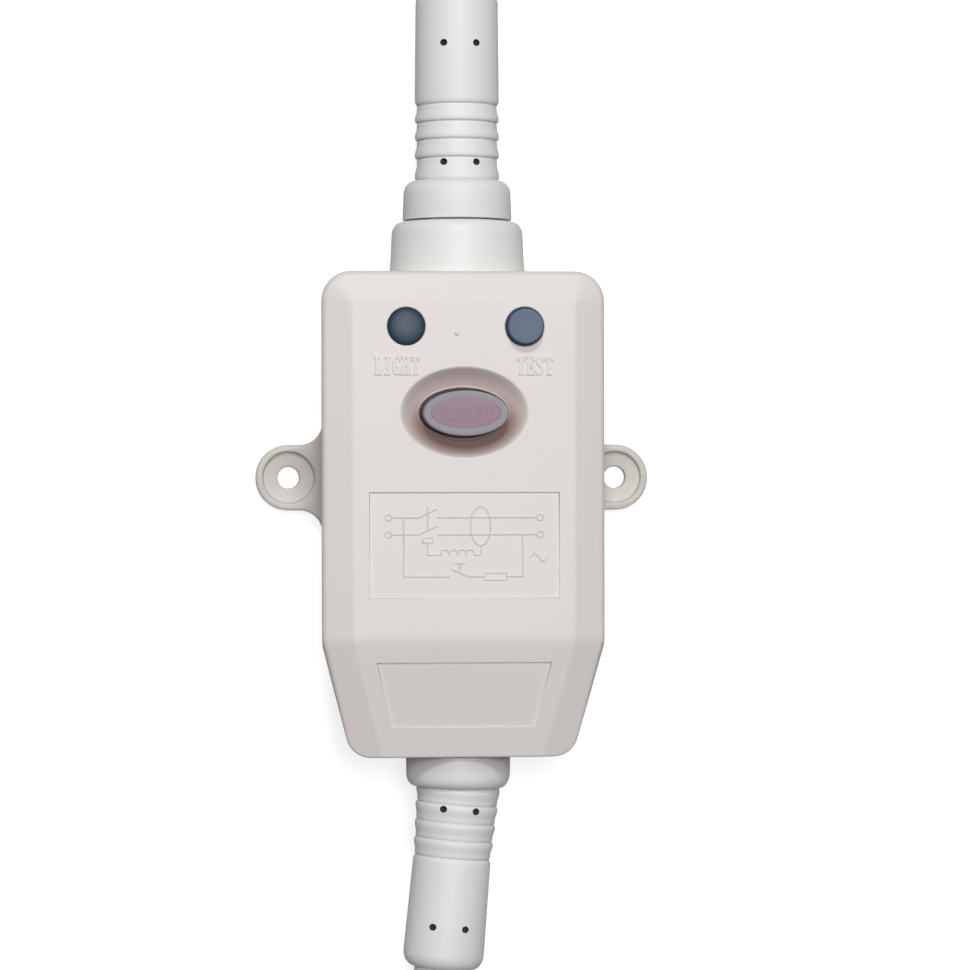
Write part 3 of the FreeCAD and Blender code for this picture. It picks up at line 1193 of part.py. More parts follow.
tie = cut("tie_band", strap("tie_outside", "cord_radius + tie_play + tie_thickness", "tie_width"), [
    strap("tie_inside", "cord_radius + tie_play", "tie_width + 2"),
])
tie_place = group("cord_tie", [tie])
tie_place.Placement = Placement(Vector(coil_point(tie_angle).x, coil_point(tie_angle).y, 0), tie_turn)
subpart("cord_tie", tie_place)

# Mains plug with two round pins
plug_at = (plug_start.x, plug_start.y, plug_start.z, ALONG_Y)
plug_form = turned("plug_form", [
    ("0", "0"), ("plug_sleeve_radius", "0"), ("plug_sleeve_radius + 1", "plug_sleeve_length"),
    ("plug_grip_radius", "plug_sleeve_length + 3"), ("plug_grip_radius + 0.8", "plug_body_length - plug_head_length - 4"),
    ("plug_radius", "plug_body_length - plug_head_length + 2"), ("plug_radius", "plug_body_length"), ("0", "plug_body_length"),
], 0, 0, 0, ALONG_Y, [("1.2", [1]), ("2", [3]), ("3", [4, 5]), ("1", [6])])
pin_length = "plug_pin_length + 12"
plug_pins = []
plug_cuts = []
for side in SIDES:
    x = f"{side} * plug_pin_spacing / 2"
    plug_pins.append(turned(f"pin{side + 1}", [
        ("0", "0"), ("plug_pin_radius", "0"), ("plug_pin_radius", pin_length), ("0", pin_length),
    ], x, "plug_body_length - 12", 0, ALONG_Y, [("plug_pin_radius - 0.6", [2])]))
    plug_cuts.append(rod(f"pin_bore{side + 1}", "plug_pin_radius + close_fit", 20, x, "plug_body_length - 12", 0, ALONG_Y))
    z = "plug_radius - plug_earth_depth" if side > 0 else "-plug_radius - 5"
    plug_cuts.append(block(f"earth_groove{side + 1}", "plug_earth_width + 2 * close_fit", 20, "plug_earth_depth + 5", 0,
                           "plug_body_length - 7", z))
plug_cuts.append(rod("earth_socket", "plug_socket_radius", 17, 0, "plug_body_length - 16", "-plug_socket_offset", ALONG_Y))


def with_plug(name, parts):
    holder = group(name, parts)
    holder.Placement = Placement(plug_start, UPRIGHT)
    return subpart(name, holder)


with_plug("plug_body", [cut("plug_shaped", plug_form, plug_cuts)])
with_plug("plug_pins", plug_pins)
with_plug("plug_earth_contacts", [
    block(f"earth_strip{side + 1}", "plug_earth_width", 17, "plug_earth_depth - 0.4", 0, "plug_body_length - 8.5",
          "plug_radius - plug_earth_depth" if side > 0 else "-plug_radius + 0.4")
    for side in SIDES
])


# Check and export

doc.recompute()
for thing in doc.Objects:
    if "Invalid" in thing.State or "Error" in thing.State:
        raise RuntimeError(f"{thing.Name}: {thing.State}")
    solid = getattr(thing, "Shape", None)
    if solid is not None and thing.TypeId != "Sketcher::SketchObject" and (solid.isNull() or not solid.isValid()):
        raise RuntimeError(f"{thing.Name} has no valid shape")
os.makedirs("parts", exist_ok=True)
for name, thing in subparts.items():
    solids = thing.Shape.Solids
    whole = solids[0] if len(solids) == 1 else Part.makeCompound(solids)
    whole.exportStep(f"parts/{name}.step")
    print(f"{name}: {len(solids)} solid(s), {whole.Volume:.0f} mm3")
print(len(subparts), "files")
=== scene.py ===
"""In-line residual current device on a mains cable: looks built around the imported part.

The case lies on its back: x to the right, y to the outlet end, z out of the front face. The case and its
pieces are given in millimetres, and the cable, the camera and the lights in metres.
"""

import json
import math

import bmesh
import bpy
from mathutils import Matrix, Vector
from mathutils.geometry import delaunay_2d_cdt


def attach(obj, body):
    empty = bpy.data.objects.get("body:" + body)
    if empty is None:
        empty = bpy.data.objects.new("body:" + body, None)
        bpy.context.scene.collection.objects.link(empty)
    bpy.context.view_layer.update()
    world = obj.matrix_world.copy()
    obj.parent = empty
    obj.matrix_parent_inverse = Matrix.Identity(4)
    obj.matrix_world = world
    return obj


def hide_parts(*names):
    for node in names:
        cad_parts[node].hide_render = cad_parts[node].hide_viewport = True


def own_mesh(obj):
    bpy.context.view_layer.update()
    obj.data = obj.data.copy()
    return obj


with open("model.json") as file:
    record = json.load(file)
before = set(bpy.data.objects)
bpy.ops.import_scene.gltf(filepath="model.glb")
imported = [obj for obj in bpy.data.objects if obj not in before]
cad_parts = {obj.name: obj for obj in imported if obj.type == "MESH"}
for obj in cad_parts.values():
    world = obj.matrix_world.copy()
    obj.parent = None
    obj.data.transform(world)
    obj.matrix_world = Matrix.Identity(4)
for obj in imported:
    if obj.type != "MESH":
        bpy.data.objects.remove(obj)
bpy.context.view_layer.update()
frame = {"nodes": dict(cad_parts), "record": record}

nodes = frame["nodes"]
MM = 0.001


# Sizes of the case, as the solids have them

TOP, FOLD, END = 20.35, -53.45, -77.15  # outlet end, fold of the foot, supply end
HALF, FOOT = 28.4, 22.35  # half widths of the case and of the foot's end
FACE, SEAM, RIM = 32.0, 15.4, 30.3  # heights
AXIS = 15.4  # height of the cable's axis
LEAN = math.tan(math.radians(4.0))  # of the side walls
WALL = 2.0
FACE_HALF, FACE_TOP = 22.25, 14.05  # where the face meets its bevels
BEVEL_SLOPE, FOOT_SLOPE, FOOT_TAPER = 0.2764, 0.2025, 0.2554
CORNERS = [((HALF, TOP), 6.0), ((HALF, FOLD), 8.0), ((FOOT, END), 5.0)]
RESET_Y, LAMP_Y = -8.0, 9.15
CAP_MIDDLE = (0.2, -8.16)
DISH_REACH, DISH_ROUND, DISH_MIDDLE = (15.93, 11.35), 11.35, 38.85
OPENING = (8.8, 4.85)
LENS_X, LENS_HOLE = -11.6, 3.8
TEST_X, TEST_HOLE = 12.1, 3.9
PANEL_Y, PANEL_HALF = -34.5, (19.1, 10.65)
FOOT_PANEL = (-57.85, 17.65, -71.15, 14.4)  # top and its half width, bottom and its half width
PANEL_DEPTH, PANEL_WALL = 0.42, 0.24

# Softness of the moulded skin

CREASE, FOLD_SOFT, DISH_SOFT = 0.22, 0.8, 0.3
CREASE_STEP, CREASE_REACH = 0.07, 0.3
RIM_ROUND, FOOT_ROUND, ROUND_FROM, ROUND_REACH = 1.0, 0.35, 0.5, 9.0
PIP_X, PIP_Y, PIP_RADIUS, PIP_RISE = -1.5, 7.75, 0.5, 0.28
LIP_RISE, LIP_AT, LIP_WIDTH = 0.16, 0.3, 0.16

# Painted shade and shadow: middle, reach, the two sides of the soft edge, and the shade's colour

DISH_PAINTED_SHADE = [
    # darker, warmer painted shade on the walls of the reset dish
    ((0.0, -8.0, 31.0), (12.7, 9.05, 60.0), (1.02, 0.88), (0.8, 0.715, 0.705)),
    # painted shadow of the reset cap on the dish below it
    ((0.2, -9.8, 31.0), (9.2, 5.8, 60.0), (1.3, 0.94), (0.46, 0.37, 0.35)),
]
# painted shadow of the case on the supply boot next to the case
SEAT_PAINTED_SHADOW = [((0.0, END, AXIS), (900.0, 5.4, 900.0), (1.0, 0.0), (0.66, 0.65, 0.65))]


# Materials

SPECK_SCALE, SPECK_REACH, SPECK_RARITY = 190.0, 0.035, 0.86
ROUND_FALL = 2.2


def linear(red, green, blue):
    """A colour given as it looks on a screen, 0 to 255, turned into light."""
    def light(value):
        value /= 255
        return value / 12.92 if value <= 0.04045 else ((value + 0.055) / 1.055) ** 2.4
    return (light(red), light(green), light(blue), 1.0)


def add(tree, kind, **settings):
    """The next shader node in a row; in_3, say, fills its socket 3 with a value or another node's output."""
    node = tree.nodes.new(kind)
    node.location = (200 * len(tree.nodes), 0)
    for name, value in settings.items():
        if not name.startswith("in_"):
            setattr(node, name, value)
        elif isinstance(value, bpy.types.NodeSocket):
            tree.links.new(value, node.inputs[int(name[3:])])
        else:
            node.inputs[int(name[3:])].default_value = value
    return node


def reckon(tree, operation, *terms, kind="Math"):
    """What a sum gives; each term is a value or another node's output, and VectorMath is for vectors."""
    sockets = {f"in_{number}": term for number, term in enumerate(terms)}
    node = add(tree, "ShaderNode" + kind, operation=operation, **sockets)
    return node.outputs["Value" if operation == "LENGTH" else 0]


def reckon_vector(*sum_parts):
    """The same for vectors."""
    return reckon(*sum_parts, kind="VectorMath")


def new_group(name, inputs, outputs):
    """An empty group of shader nodes with its two ends."""
    tree = bpy.data.node_groups.new(name, "ShaderNodeTree")
    for label, value in inputs:
        kind = "Float" if isinstance(value, float) else {3: "Vector", 4: "Color"}[len(value)]
        socket = tree.interface.new_socket(name=label, in_out="INPUT", socket_type="NodeSocket" + kind)
        socket.default_value = value
    for label, kind in outputs:
        tree.interface.new_socket(name=label, in_out="OUTPUT", socket_type="NodeSocket" + kind)
    enter, leave = add(tree, "NodeGroupInput"), add(tree, "NodeGroupOutput")
    return tree, enter.outputs, leave.inputs


def moulded_group():
    """Moulded plastic: cloudy shade, a few dark specks and a fine grain."""
    tree, given, told = new_group("moulded_skin", [
        ("Colour", (0.8, 0.8, 0.8, 1.0)), ("Cloud", 0.03), ("Cloud Scale", 60.0), ("Grain Scale", 2500.0),
        ("Roughness", 0.45), ("Roughness Change", 0.08), ("Specks", 0.5),
    ], [("Colour", "Color"), ("Roughness", "Float"), ("Height", "Float")])
    spot = add(tree, "ShaderNodeTexCoord").outputs["Object"]
    cloud = add(tree, "ShaderNodeTexNoise", in_0=spot, in_2=given["Cloud Scale"], in_3=3.0)
    grain = add(tree, "ShaderNodeTexNoise", in_0=spot, in_2=given["Grain Scale"], in_3=2.0)
    cells = add(tree, "ShaderNodeTexVoronoi", in_0=spot, in_2=SPECK_SCALE).outputs
    centred = reckon(tree, "SUBTRACT", cloud.outputs["Fac"], 0.5)
    gain = reckon(tree, "MULTIPLY_ADD", centred, given["Cloud"], 1.0)
    near = reckon(tree, "LESS_THAN", cells["Distance"], SPECK_REACH)
    parts = add(tree, "ShaderNodeSeparateColor", in_0=cells["Color"])
    rare = reckon(tree, "GREATER_THAN", parts.outputs[0], SPECK_RARITY)
    speck = reckon(tree, "MULTIPLY", near, rare)
    strength = reckon(tree, "MULTIPLY", speck, given["Specks"])
    rest = reckon(tree, "SUBTRACT", 1.0, strength)
    shown = reckon(tree, "MULTIPLY", gain, rest)
    shade = add(tree, "ShaderNodeVectorMath", operation="SCALE", in_0=given["Colour"], in_3=shown)
    fine = grain.outputs["Fac"]
    rough = reckon(tree, "MULTIPLY_ADD", fine, given["Roughness Change"], given["Roughness"])
    for label, value in (("Colour", shade.outputs[0]), ("Roughness", rough), ("Height", fine)):
        tree.links.new(value, told[label])
    return tree


def round_shade_group():
    """Colour that changes with the distance from an upright axis, with a thin ring, as in a lens."""
    tree, given, told = new_group("round_shade", [
        ("Middle", (0.0, 0.0, 0.0)), ("Inner", (0.2, 0.2, 0.2, 1.0)), ("Outer", (0.05, 0.05, 0.05, 1.0)),
        ("Radius", 0.004), ("Ring At", 0.66), ("Ring Width", 0.06), ("Ring Strength", 0.2),
    ], [("Colour", "Color")])
    spot = add(tree, "ShaderNodeTexCoord").outputs["Object"]
    away = reckon_vector(tree, "SUBTRACT", spot, given["Middle"])
    flat = reckon_vector(tree, "MULTIPLY", away, (1, 1, 0))
    length = reckon_vector(tree, "LENGTH", flat)
    share = reckon(tree, "DIVIDE", length, given["Radius"])
    steep = reckon(tree, "POWER", share, ROUND_FALL)
    mixed = add(tree, "ShaderNodeMix", data_type="RGBA", in_0=steep, in_6=given["Inner"], in_7=given["Outer"])
    off = reckon(tree, "SUBTRACT", share, given["Ring At"])
    near = reckon(tree, "LESS_THAN", reckon(tree, "ABSOLUTE", off), given["Ring Width"])
    lift = reckon(tree, "MULTIPLY_ADD", near, given["Ring Strength"], 1.0)
    shade = add(tree, "ShaderNodeVectorMath", operation="SCALE", in_0=mixed.outputs[2], in_3=lift)
    tree.links.new(shade.outputs[0], told["Colour"])
    return tree


def painted_shade_group(name, painted_shades):
    """Painted shade at some places; each has a middle, a reach, the sides of its soft edge and a shade
    colour.
    """
    tree, given, told = new_group(name, [("Colour", (0.8, 0.8, 0.8, 1.0))], [("Colour", "Color")])
    spot = add(tree, "ShaderNodeTexCoord").outputs["Object"]
    shaded = given["Colour"]
    for middle, reach, (outside, inside), shade_colour in painted_shades:
        away = reckon_vector(tree, "SUBTRACT", spot, [value * MM for value in middle])
        share = reckon_vector(tree, "DIVIDE", away, [value * MM for value in reach])
        size = reckon_vector(tree, "LENGTH", share)
        mask = add(tree, "ShaderNodeMapRange", interpolation_type="SMOOTHSTEP", in_0=size, in_1=outside,
                   in_2=inside)
        mixed = add(tree, "ShaderNodeMix", data_type="RGBA", blend_type="MULTIPLY", in_0=mask.outputs[0],
                    in_6=shaded, in_7=(*shade_colour, 1.0))
        shaded = mixed.outputs[2]
    tree.links.new(shaded, told["Colour"])
    return tree


MOULDED = moulded_group()


def moulded(name, colour, rough=0.45, cloud=0.03, cloud_scale=60.0, grain=2500.0, depth=0.00002, specks=0.0,
            metal=0.0, coat=0.0, gloss=0.5):
    """A material of moulded plastic, rubber or metal."""
    made = bpy.data.materials.new(name)
    made.use_nodes = True
    tree = made.node_tree
    shader = tree.nodes["Principled BSDF"]
    skin = add(tree, "ShaderNodeGroup", node_tree=MOULDED, name="skin")
    values = {
        "Colour": linear(*colour), "Cloud": cloud, "Cloud Scale": cloud_scale, "Grain Scale": grain,
        "Roughness": rough, "Specks": specks,
    }
    for label, value in values.items():
        skin.inputs[label].default_value = value
    relief = add(tree, "ShaderNodeBump")
    relief.inputs["Distance"].default_value = depth
    relief.inputs["Strength"].default_value = 0.5
    tree.links.new(skin.outputs["Colour"], shader.inputs["Base Color"])
    tree.links.new(skin.outputs["Roughness"], shader.inputs["Roughness"])
    tree.links.new(skin.outputs["Height"], relief.inputs["Height"])
    tree.links.new(relief.outputs["Normal"], shader.inputs["Normal"])
    for label, value in (("Metallic", metal), ("Coat Weight", coat), ("Specular IOR Level", gloss)):
        shader.inputs[label].default_value = value
    return made


FINISHES = {
    "case_plastic": dict(colour=(214, 208, 205), rough=0.44, cloud=0.05, cloud_scale=45.0, specks=0.35),
    "boot_plastic": dict(colour=(223, 222, 223), rough=0.5, cloud=0.06, specks=0.4),
    "cable_jacket": dict(colour=(221, 219, 220), rough=0.5, cloud=0.06, cloud_scale=40.0, specks=0.2),
    "tie_band": dict(colour=(232, 231, 228), rough=0.5, cloud=0.04),
    "reset_rim": dict(colour=(150, 146, 153), rough=0.65, cloud=0.08, cloud_scale=150.0, gloss=0.25),
    "reset_insert": dict(colour=(152, 128, 140), rough=0.6, cloud=0.14, cloud_scale=260.0, gloss=0.3),
    "test_key": dict(colour=(102, 116, 133), rough=0.65, cloud=0.05, cloud_scale=200.0, gloss=0.2),
    "lens": dict(colour=(74, 86, 101), rough=0.5, cloud=0.04, gloss=0.25),
    "lamp_glass": dict(colour=(236, 176, 150), rough=0.1, coat=0.5),
    "steel": dict(colour=(186, 187, 190), rough=0.28, cloud=0.05, metal=1.0),
    "brass": dict(colour=(220, 186, 118), rough=0.3, cloud=0.06, metal=1.0),
    "pin_metal": dict(colour=(214, 211, 203), rough=0.2, cloud=0.04, metal=1.0),
    "copper_winding": dict(colour=(186, 104, 62), rough=0.35, cloud=0.1, grain=5e3, depth=1e-4, metal=1.0),
    "board": dict(colour=(34, 104, 62), rough=0.4, cloud=0.12, cloud_scale=400.0),
    "black_plastic": dict(colour=(42, 42, 46), rough=0.5),
    "white_plastic": dict(colour=(222, 218, 206), rough=0.5),
    "terminal_plastic": dict(colour=(206, 208, 204)),
    "transformer_blue": dict(colour=(42, 84, 158), rough=0.35),
    "capacitor_red": dict(colour=(164, 48, 38), rough=0.3),
    "resistor_tan": dict(colour=(196, 170, 132), rough=0.4),
    "live_brown": dict(colour=(112, 66, 40)),
    "neutral_blue": dict(colour=(48, 96, 176)),
    "earth_green": dict(colour=(120, 170, 52)),
}
SLOTS = {slot: moulded(slot, **looks) for slot, looks in FINISHES.items()}
# The case's plastic painted darker for the back shell, as shade where the case's walls keep light from its
# ears
back_painted_shade_plastic = moulded("back_painted_shade_plastic", (196, 190, 185), rough=0.48, cloud=0.07, cloud_scale=90.0, specks=0.3)
collar_plastic = moulded("collar_plastic", (226, 225, 223), rough=0.46, cloud=0.04, specks=0.3)
# Dark plastic painted inside the boots' pin holes as their shade
hole_painted_shade = moulded("hole_painted_shade", (58, 52, 48), rough=0.8)


def coloured_by(slot, group, own_colour, **values):
    """Puts a group before the skin of a slot's material; own_colour is its socket for the present colour."""
    tree = SLOTS[slot].node_tree
    skin_colour = tree.nodes["skin"].inputs["Colour"]
    shade = add(tree, "ShaderNodeGroup", node_tree=group)
    shade.inputs[own_colour].default_value = skin_colour.default_value
    for label, value in values.items():
        shade.inputs[label.replace("_", " ")].default_value = value
    tree.links.new(shade.outputs["Colour"], skin_colour)


# Painted shade in the reset dish and a painted shadow under the reset cap
coloured_by("case_plastic", painted_shade_group("dish_painted_shade", DISH_PAINTED_SHADE), "Colour")
# Painted shadow of the case on the supply boot where it leaves the case
coloured_by("boot_plastic", painted_shade_group("seat_painted_shadow", SEAT_PAINTED_SHADOW), "Colour")
ROUND_SHADE = round_shade_group()
coloured_by("lens", ROUND_SHADE, "Inner", Middle=(LENS_X * MM, LAMP_Y * MM, 0.0), Radius=3.75 * MM,
            Outer=linear(28, 44, 62), Ring_At=0.68, Ring_Strength=0.12)
coloured_by("test_key", ROUND_SHADE, "Inner", Middle=(TEST_X * MM, LAMP_Y * MM, 0.0), Radius=3.6 * MM,
            Outer=linear(94, 108, 128), Ring_At=0.84, Ring_Strength=0.06)

for entry in frame["record"]["subparts"]:
    materials = nodes[entry["node"]].data.materials
    materials.clear()
    materials.append(SLOTS[entry["material_slot"]])


# Cable

ROUTE = [
    (-0.00328, -0.1204, 0.0154), (-0.0043, -0.13155, 0.0154), (-0.00547, -0.14448, 0.01311),
    (-0.00786, -0.15679, 0.00904), (-0.01166, -0.1692, 0.00675), (-0.0166, -0.18144, 0.00675),
    (-0.02258, -0.19138, 0.00675),
]
CORD_RADIUS = 0.0057
COIL_MIDDLE = (0.022675, -0.226737)
COIL_RADIUS = 0.057
COIL_TURNS = (math.pi - math.radians(31.0), 4 * math.pi)
COIL_POINTS = 26
CLIMB = (math.radians(388), math.radians(460))
LIFT = (math.radians(640), 4 * math.pi)
LOW_TURN, HIGH_TURN, PLUG_LIFT = 0.00675, 0.01865, 0.001
PLUG_LEAD = 0.020


def placed(name, data):
    """A new object in the scene."""
    thing = bpy.data.objects.new(name, data)
    bpy.context.scene.collection.objects.link(thing)
    return thing


def eased(share):
    """A smooth step from nought to one."""
    share = min(1.0, max(0.0, share))
    return share * share * (3 - 2 * share)


def coil_height(angle):
    """Height of the cable's middle along the coil, with a small lift before the plug."""
    climbed = eased((angle - CLIMB[0]) / (CLIMB[1] - CLIMB[0]))
    lifted = eased((angle - LIFT[0]) / (LIFT[1] - LIFT[0]))
    return LOW_TURN + (HIGH_TURN - LOW_TURN) * climbed + PLUG_LIFT * lifted


def cable_points():
    """Control points of the whole free cable: the route, the coil's turns and the lead of the plug."""
    step = (COIL_TURNS[1] - COIL_TURNS[0]) / COIL_POINTS
    reach = COIL_RADIUS / math.cos(step / 2)
    spots = list(ROUTE)
    for number in range(COIL_POINTS):
        angle = COIL_TURNS[0] + (number + 0.5) * step
        across, along = reach * math.cos(angle), reach * math.sin(angle)
        spots.append((COIL_MIDDLE[0] + across, COIL_MIDDLE[1] + along, coil_height(angle)))
    x, y, z = COIL_MIDDLE[0] + COIL_RADIUS, COIL_MIDDLE[1], HIGH_TURN + PLUG_LIFT
    return spots + [(x, y + PLUG_LEAD / 2, z), (x, y + PLUG_LEAD, z)]


def cable_curve(name, spots, radius):
    """A round cable on one smooth open spline through its control points."""
    data = bpy.data.curves.new(name, "CURVE")
    data.dimensions = "3D"
    spline = data.splines.new("NURBS")
    spline.points.add(len(spots) - 1)
    for point, spot in zip(spline.points, spots):
        point.co = (*spot, 1.0)
    spline.order_u = 3
    spline.use_endpoint_u = True
    spline.resolution_u = 10
    data.bevel_depth = radius
    data.bevel_resolution = 8
    data.use_fill_caps = True
    return placed(name, data)


cable = cable_curve("free_cable", cable_points(), CORD_RADIUS)
cable.data.materials.append(SLOTS["cable_jacket"])
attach(cable, "case")
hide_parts("supply_cord", "supply_cord_coil")


# Camera at the photograph's viewing angle

PICTURE_PIXELS, SENSOR = 970, 36.0
LENS_PIXELS = 3898.74
DISTANCE = 0.77778
LOOK_AT = Vector((0.0040643, -0.022475, 0.0320))
FROM_LEFT, FROM_ABOVE, ROLL = math.radians(5.3651), math.radians(0.0684), math.radians(0.1088)

camera_data = bpy.data.cameras.new("camera")
camera_data.sensor_width = SENSOR
camera_data.lens = LENS_PIXELS / PICTURE_PIXELS * SENSOR
camera_data.clip_start, camera_data.clip_end = 0.05, 10.0
camera = placed("camera", camera_data)
bpy.context.scene.camera = camera
level = math.cos(FROM_ABOVE)
back = Vector((-math.sin(FROM_LEFT) * level, math.sin(FROM_ABOVE), math.cos(FROM_LEFT) * level))
right = Vector((math.sin(ROLL), math.cos(ROLL), 0.0)).cross(back).normalized()
stand = Matrix((right, back.cross(right), back)).transposed().to_4x4()
stand.translation = LOOK_AT + back * DISTANCE
camera.matrix_world = stand


# Making of pieces

def finished(name, mesh, slot, replaced=(), body="case", material=None):
    """The mesh as a piece that rides a body and stands for solids; a bare mesh gets its slot's material."""
    thing = placed(name, mesh)
    if material or not mesh.materials:
        mesh.materials.clear()
        mesh.materials.append(material or SLOTS[slot])
    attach(thing, body)
    if replaced:
        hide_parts(*replaced)
    return thing


def smoothed(mesh, sharp=35):
    """The mesh shaded smooth, with sharp edges where its faces meet more steeply than that many degrees."""
    mesh.shade_smooth()
    mesh.set_sharp_from_angle(angle=math.radians(sharp))
    return mesh


def mesh_of(name, spots, faces):
    """A smooth mesh from corners in millimetres."""
    mesh = bpy.data.meshes.new(name)
    mesh.from_pydata([(x * MM, y * MM, z * MM) for x, y, z in spots], [], faces)
    mesh.update()
    return smoothed(mesh)


def turned(profile, place, steps=128, closed=True):
    """Corners and faces turned from (radius, distance) pairs; place puts a corner where it belongs."""
    spots, faces = [], []
    for radius, distance in profile:
        for number in range(steps):
            angle = 2 * math.pi * number / steps
            spots.append(place(radius * math.sin(angle), radius * math.cos(angle), distance))
    rows = len(profile)
    for row in range(rows if closed else rows - 1):
        low, high = row * steps, (row + 1) % rows * steps
        for number in range(steps):
            after = (number + 1) % steps
            faces.append((low + number, low + after, high + after, high + number))
    if not closed:
        faces.append(tuple(reversed(range(steps))))
        faces.append(tuple(range((rows - 1) * steps, rows * steps)))
    return spots, faces


def outward(mesh):
    """Turns the mesh's faces to the outside."""
    form = bmesh.new()
    form.from_mesh(mesh)
    bmesh.ops.recalc_face_normals(form, faces=form.faces)
    form.to_mesh(mesh)
    form.free()
    return mesh


def mesh_from(maker, *helpers):
    """The mesh that a curve or a thing with modifiers makes; the maker and its helpers go."""
    bpy.context.view_layer.update()
    mesh = bpy.data.meshes.new_from_object(maker.evaluated_get(bpy.context.evaluated_depsgraph_get()))
    for thing in (maker, *helpers):
        bpy.data.objects.remove(thing)
    return mesh


def arc(middle, reach, first, last, steps=14):
    """Corners on part of an ellipse, from one angle in degrees to another."""
    corners = []
    for number in range(steps + 1):
        angle = math.radians(first + (last - first) * number / steps)
        corners.append((middle[0] + reach[0] * math.cos(angle), middle[1] + reach[1] * math.sin(angle)))
    return corners


# Front cover: one skin over the plan view, with walls, openings and an inside

OPENINGS = [  # middle, reach and rounding of the edge
    ((0.0, RESET_Y), OPENING, 0.22), ((LENS_X, LAMP_Y), (LENS_HOLE, LENS_HOLE), 0.28),
    ((TEST_X, LAMP_Y), (TEST_HOLE, TEST_HOLE), 0.28),
]
OPENING_REACH = 1.2
WALL_LEVELS = [(24.0, 0.0), (SEAM + 0.3, 0.0), (SEAM + 0.06, 0.22), (SEAM + 0.06, WALL)]  # height and inset
LEANING_FROM = 12.0  # end walls lean less and less from here to the middle
INSIDE_REACH, AT_RIM, NO_AREA, SMOOTH_ROWS = 5.0, 0.02, 1e-7, 2
CORNER_STEPS, TURN_STEPS, GRID, GRID_COLUMNS, GRID_INSET = 14, 120, 1.5, 19, 1.4
PIP_LEAST, FOLD_INSET, MERGE_WITHIN = 0.02, 0.1, 1e-4
DISH_EDGE = (12.7, 9.05)

# Distances of the lines that the skin follows from rim, openings, dish, pip, creases and panels

RIM_LINES = (0.0, 0.04, 0.12, 0.24, 0.4, 0.6, 0.8, 1.0, 1.15)
OPENING_LINES = (0.0, 0.02, 0.06, 0.12, 0.2, 0.3, 0.42, 0.6, 0.8)
DISH_LINES = (-3.4, -2.6, -1.8, -1.1, -0.6, -0.3, -0.15, -0.05, 0.05, 0.15, 0.3, 0.5)
PIP_LINES = (0.0, 0.3, 0.6, 0.85, 1.0, 1.1)
SIDE_LINES = (-1.0, -0.5, -0.25, -0.1, 0.0, 0.1, 0.25, 0.5, 1.0)
TOP_LINES = (-1.0, -0.5, -0.25, -0.1, 0.0, 0.05, 0.1, 0.15, 0.2, 0.25, 0.3, 0.4, 0.6, 1.0)
FOLD_LINES = (-1.2, -0.7, -0.3, 0.0, 0.3, 0.7, 1.2)
PANEL_LINES = (-0.15, -0.04, 0.0, 0.04, 0.08, 0.12, 0.16, 0.2, 0.24, 0.28, 0.4)


def soft_step(distance, reach):
    """Nought before an edge and the distance beyond it, with a soft turn between."""
    return (distance + math.hypot(distance, reach)) / 2


def soft_least(first, second, reach):
    """The smaller of two heights, with a soft turn where they meet."""
    share = max(reach - abs(first - second), 0.0) / reach
    return min(first, second) - share * share * reach / 4


def panel_inside(x, y):
    """How far a spot is inside the nearer sunk panel."""
    rating = min(PANEL_HALF[0] - abs(x), PANEL_HALF[1] - abs(y - PANEL_Y))
    top, top_half, bottom, bottom_half = FOOT_PANEL
    taper = (top_half - bottom_half) / (top - bottom)
    side = (bottom_half + (y - bottom) * taper - abs(x)) / math.hypot(1, taper)
    return max(rating, min(top - y, y - bottom, side))


def front_height(x, y):
    """Height of the front: face, bevels, sloping foot, dish and the two sunk panels."""
    fall = soft_step(FOLD - y, FOLD_SOFT)
    side = soft_step(abs(x) - FACE_HALF + FOOT_TAPER * fall, CREASE)
    end = soft_step(y - FACE_TOP, CREASE)
    height = FACE - FOOT_SLOPE * fall - BEVEL_SLOPE * math.hypot(side, end)
    height -= CREASE_STEP * eased((y - FACE_TOP) / CREASE_REACH)
    inside = 1 - (x / DISH_REACH[0]) ** 2 - ((y - RESET_Y) / DISH_REACH[1]) ** 2
    if inside > 0:
        height = soft_least(height, DISH_MIDDLE - DISH_ROUND * math.sqrt(inside), DISH_SOFT)
    away = math.hypot(x - PIP_X, y - PIP_Y) / PIP_RADIUS
    if away < 1:
        height += PIP_RISE * (1 - away * away)
    return height - PANEL_DEPTH * eased(panel_inside(x, y) / PANEL_WALL)


def ring_place(centre, reach, shift, angle):
    """A spot on an oval, moved outwards by a shift."""
    x, y = reach[0] * math.cos(angle), reach[1] * math.sin(angle)
    grow = 1 + shift / math.hypot(x, y)
    return (centre[0] + x * grow, centre[1] + y * grow)


def ring_away(centre, reach, x, y):
    """How far a spot is outside an oval, measured along the line to its middle."""
    across, along = x - centre[0], y - centre[1]
    share = math.hypot(across / reach[0], along / reach[1])
    return math.hypot(across, along) * (1 - 1 / share) if share > 0 else -min(reach)


def rolled(distance, radius):
    """The drop of a rounded edge at a distance from it."""
    left = radius - min(max(distance, 0.0), radius)
    return radius - math.sqrt(radius * radius - left * left)


def side_walls():
    """The walls on the right side: a spot on each and its outward direction."""
    foot = Vector((FOOT - HALF, END - FOLD)).normalized()
    return [
        (Vector((HALF, TOP)), Vector((0, 1))), (Vector((HALF, FOLD)), Vector((1, 0))),
        (Vector((HALF, FOLD)), Vector((-foot.y, foot.x))), (Vector((FOOT, END)), Vector((0, -1))),
    ]


WALLS = side_walls()


def corner_middle(number, radius):
    """The middle of the round corner between two neighbouring walls."""
    first, second = WALLS[number][1], WALLS[number + 1][1]
    return Vector(CORNERS[number][0]) - (first + second) * (radius / (1 + first.dot(second)))


ROUNDS = [(corner_middle(number, radius), radius) for number, (_, radius) in enumerate(CORNERS)]


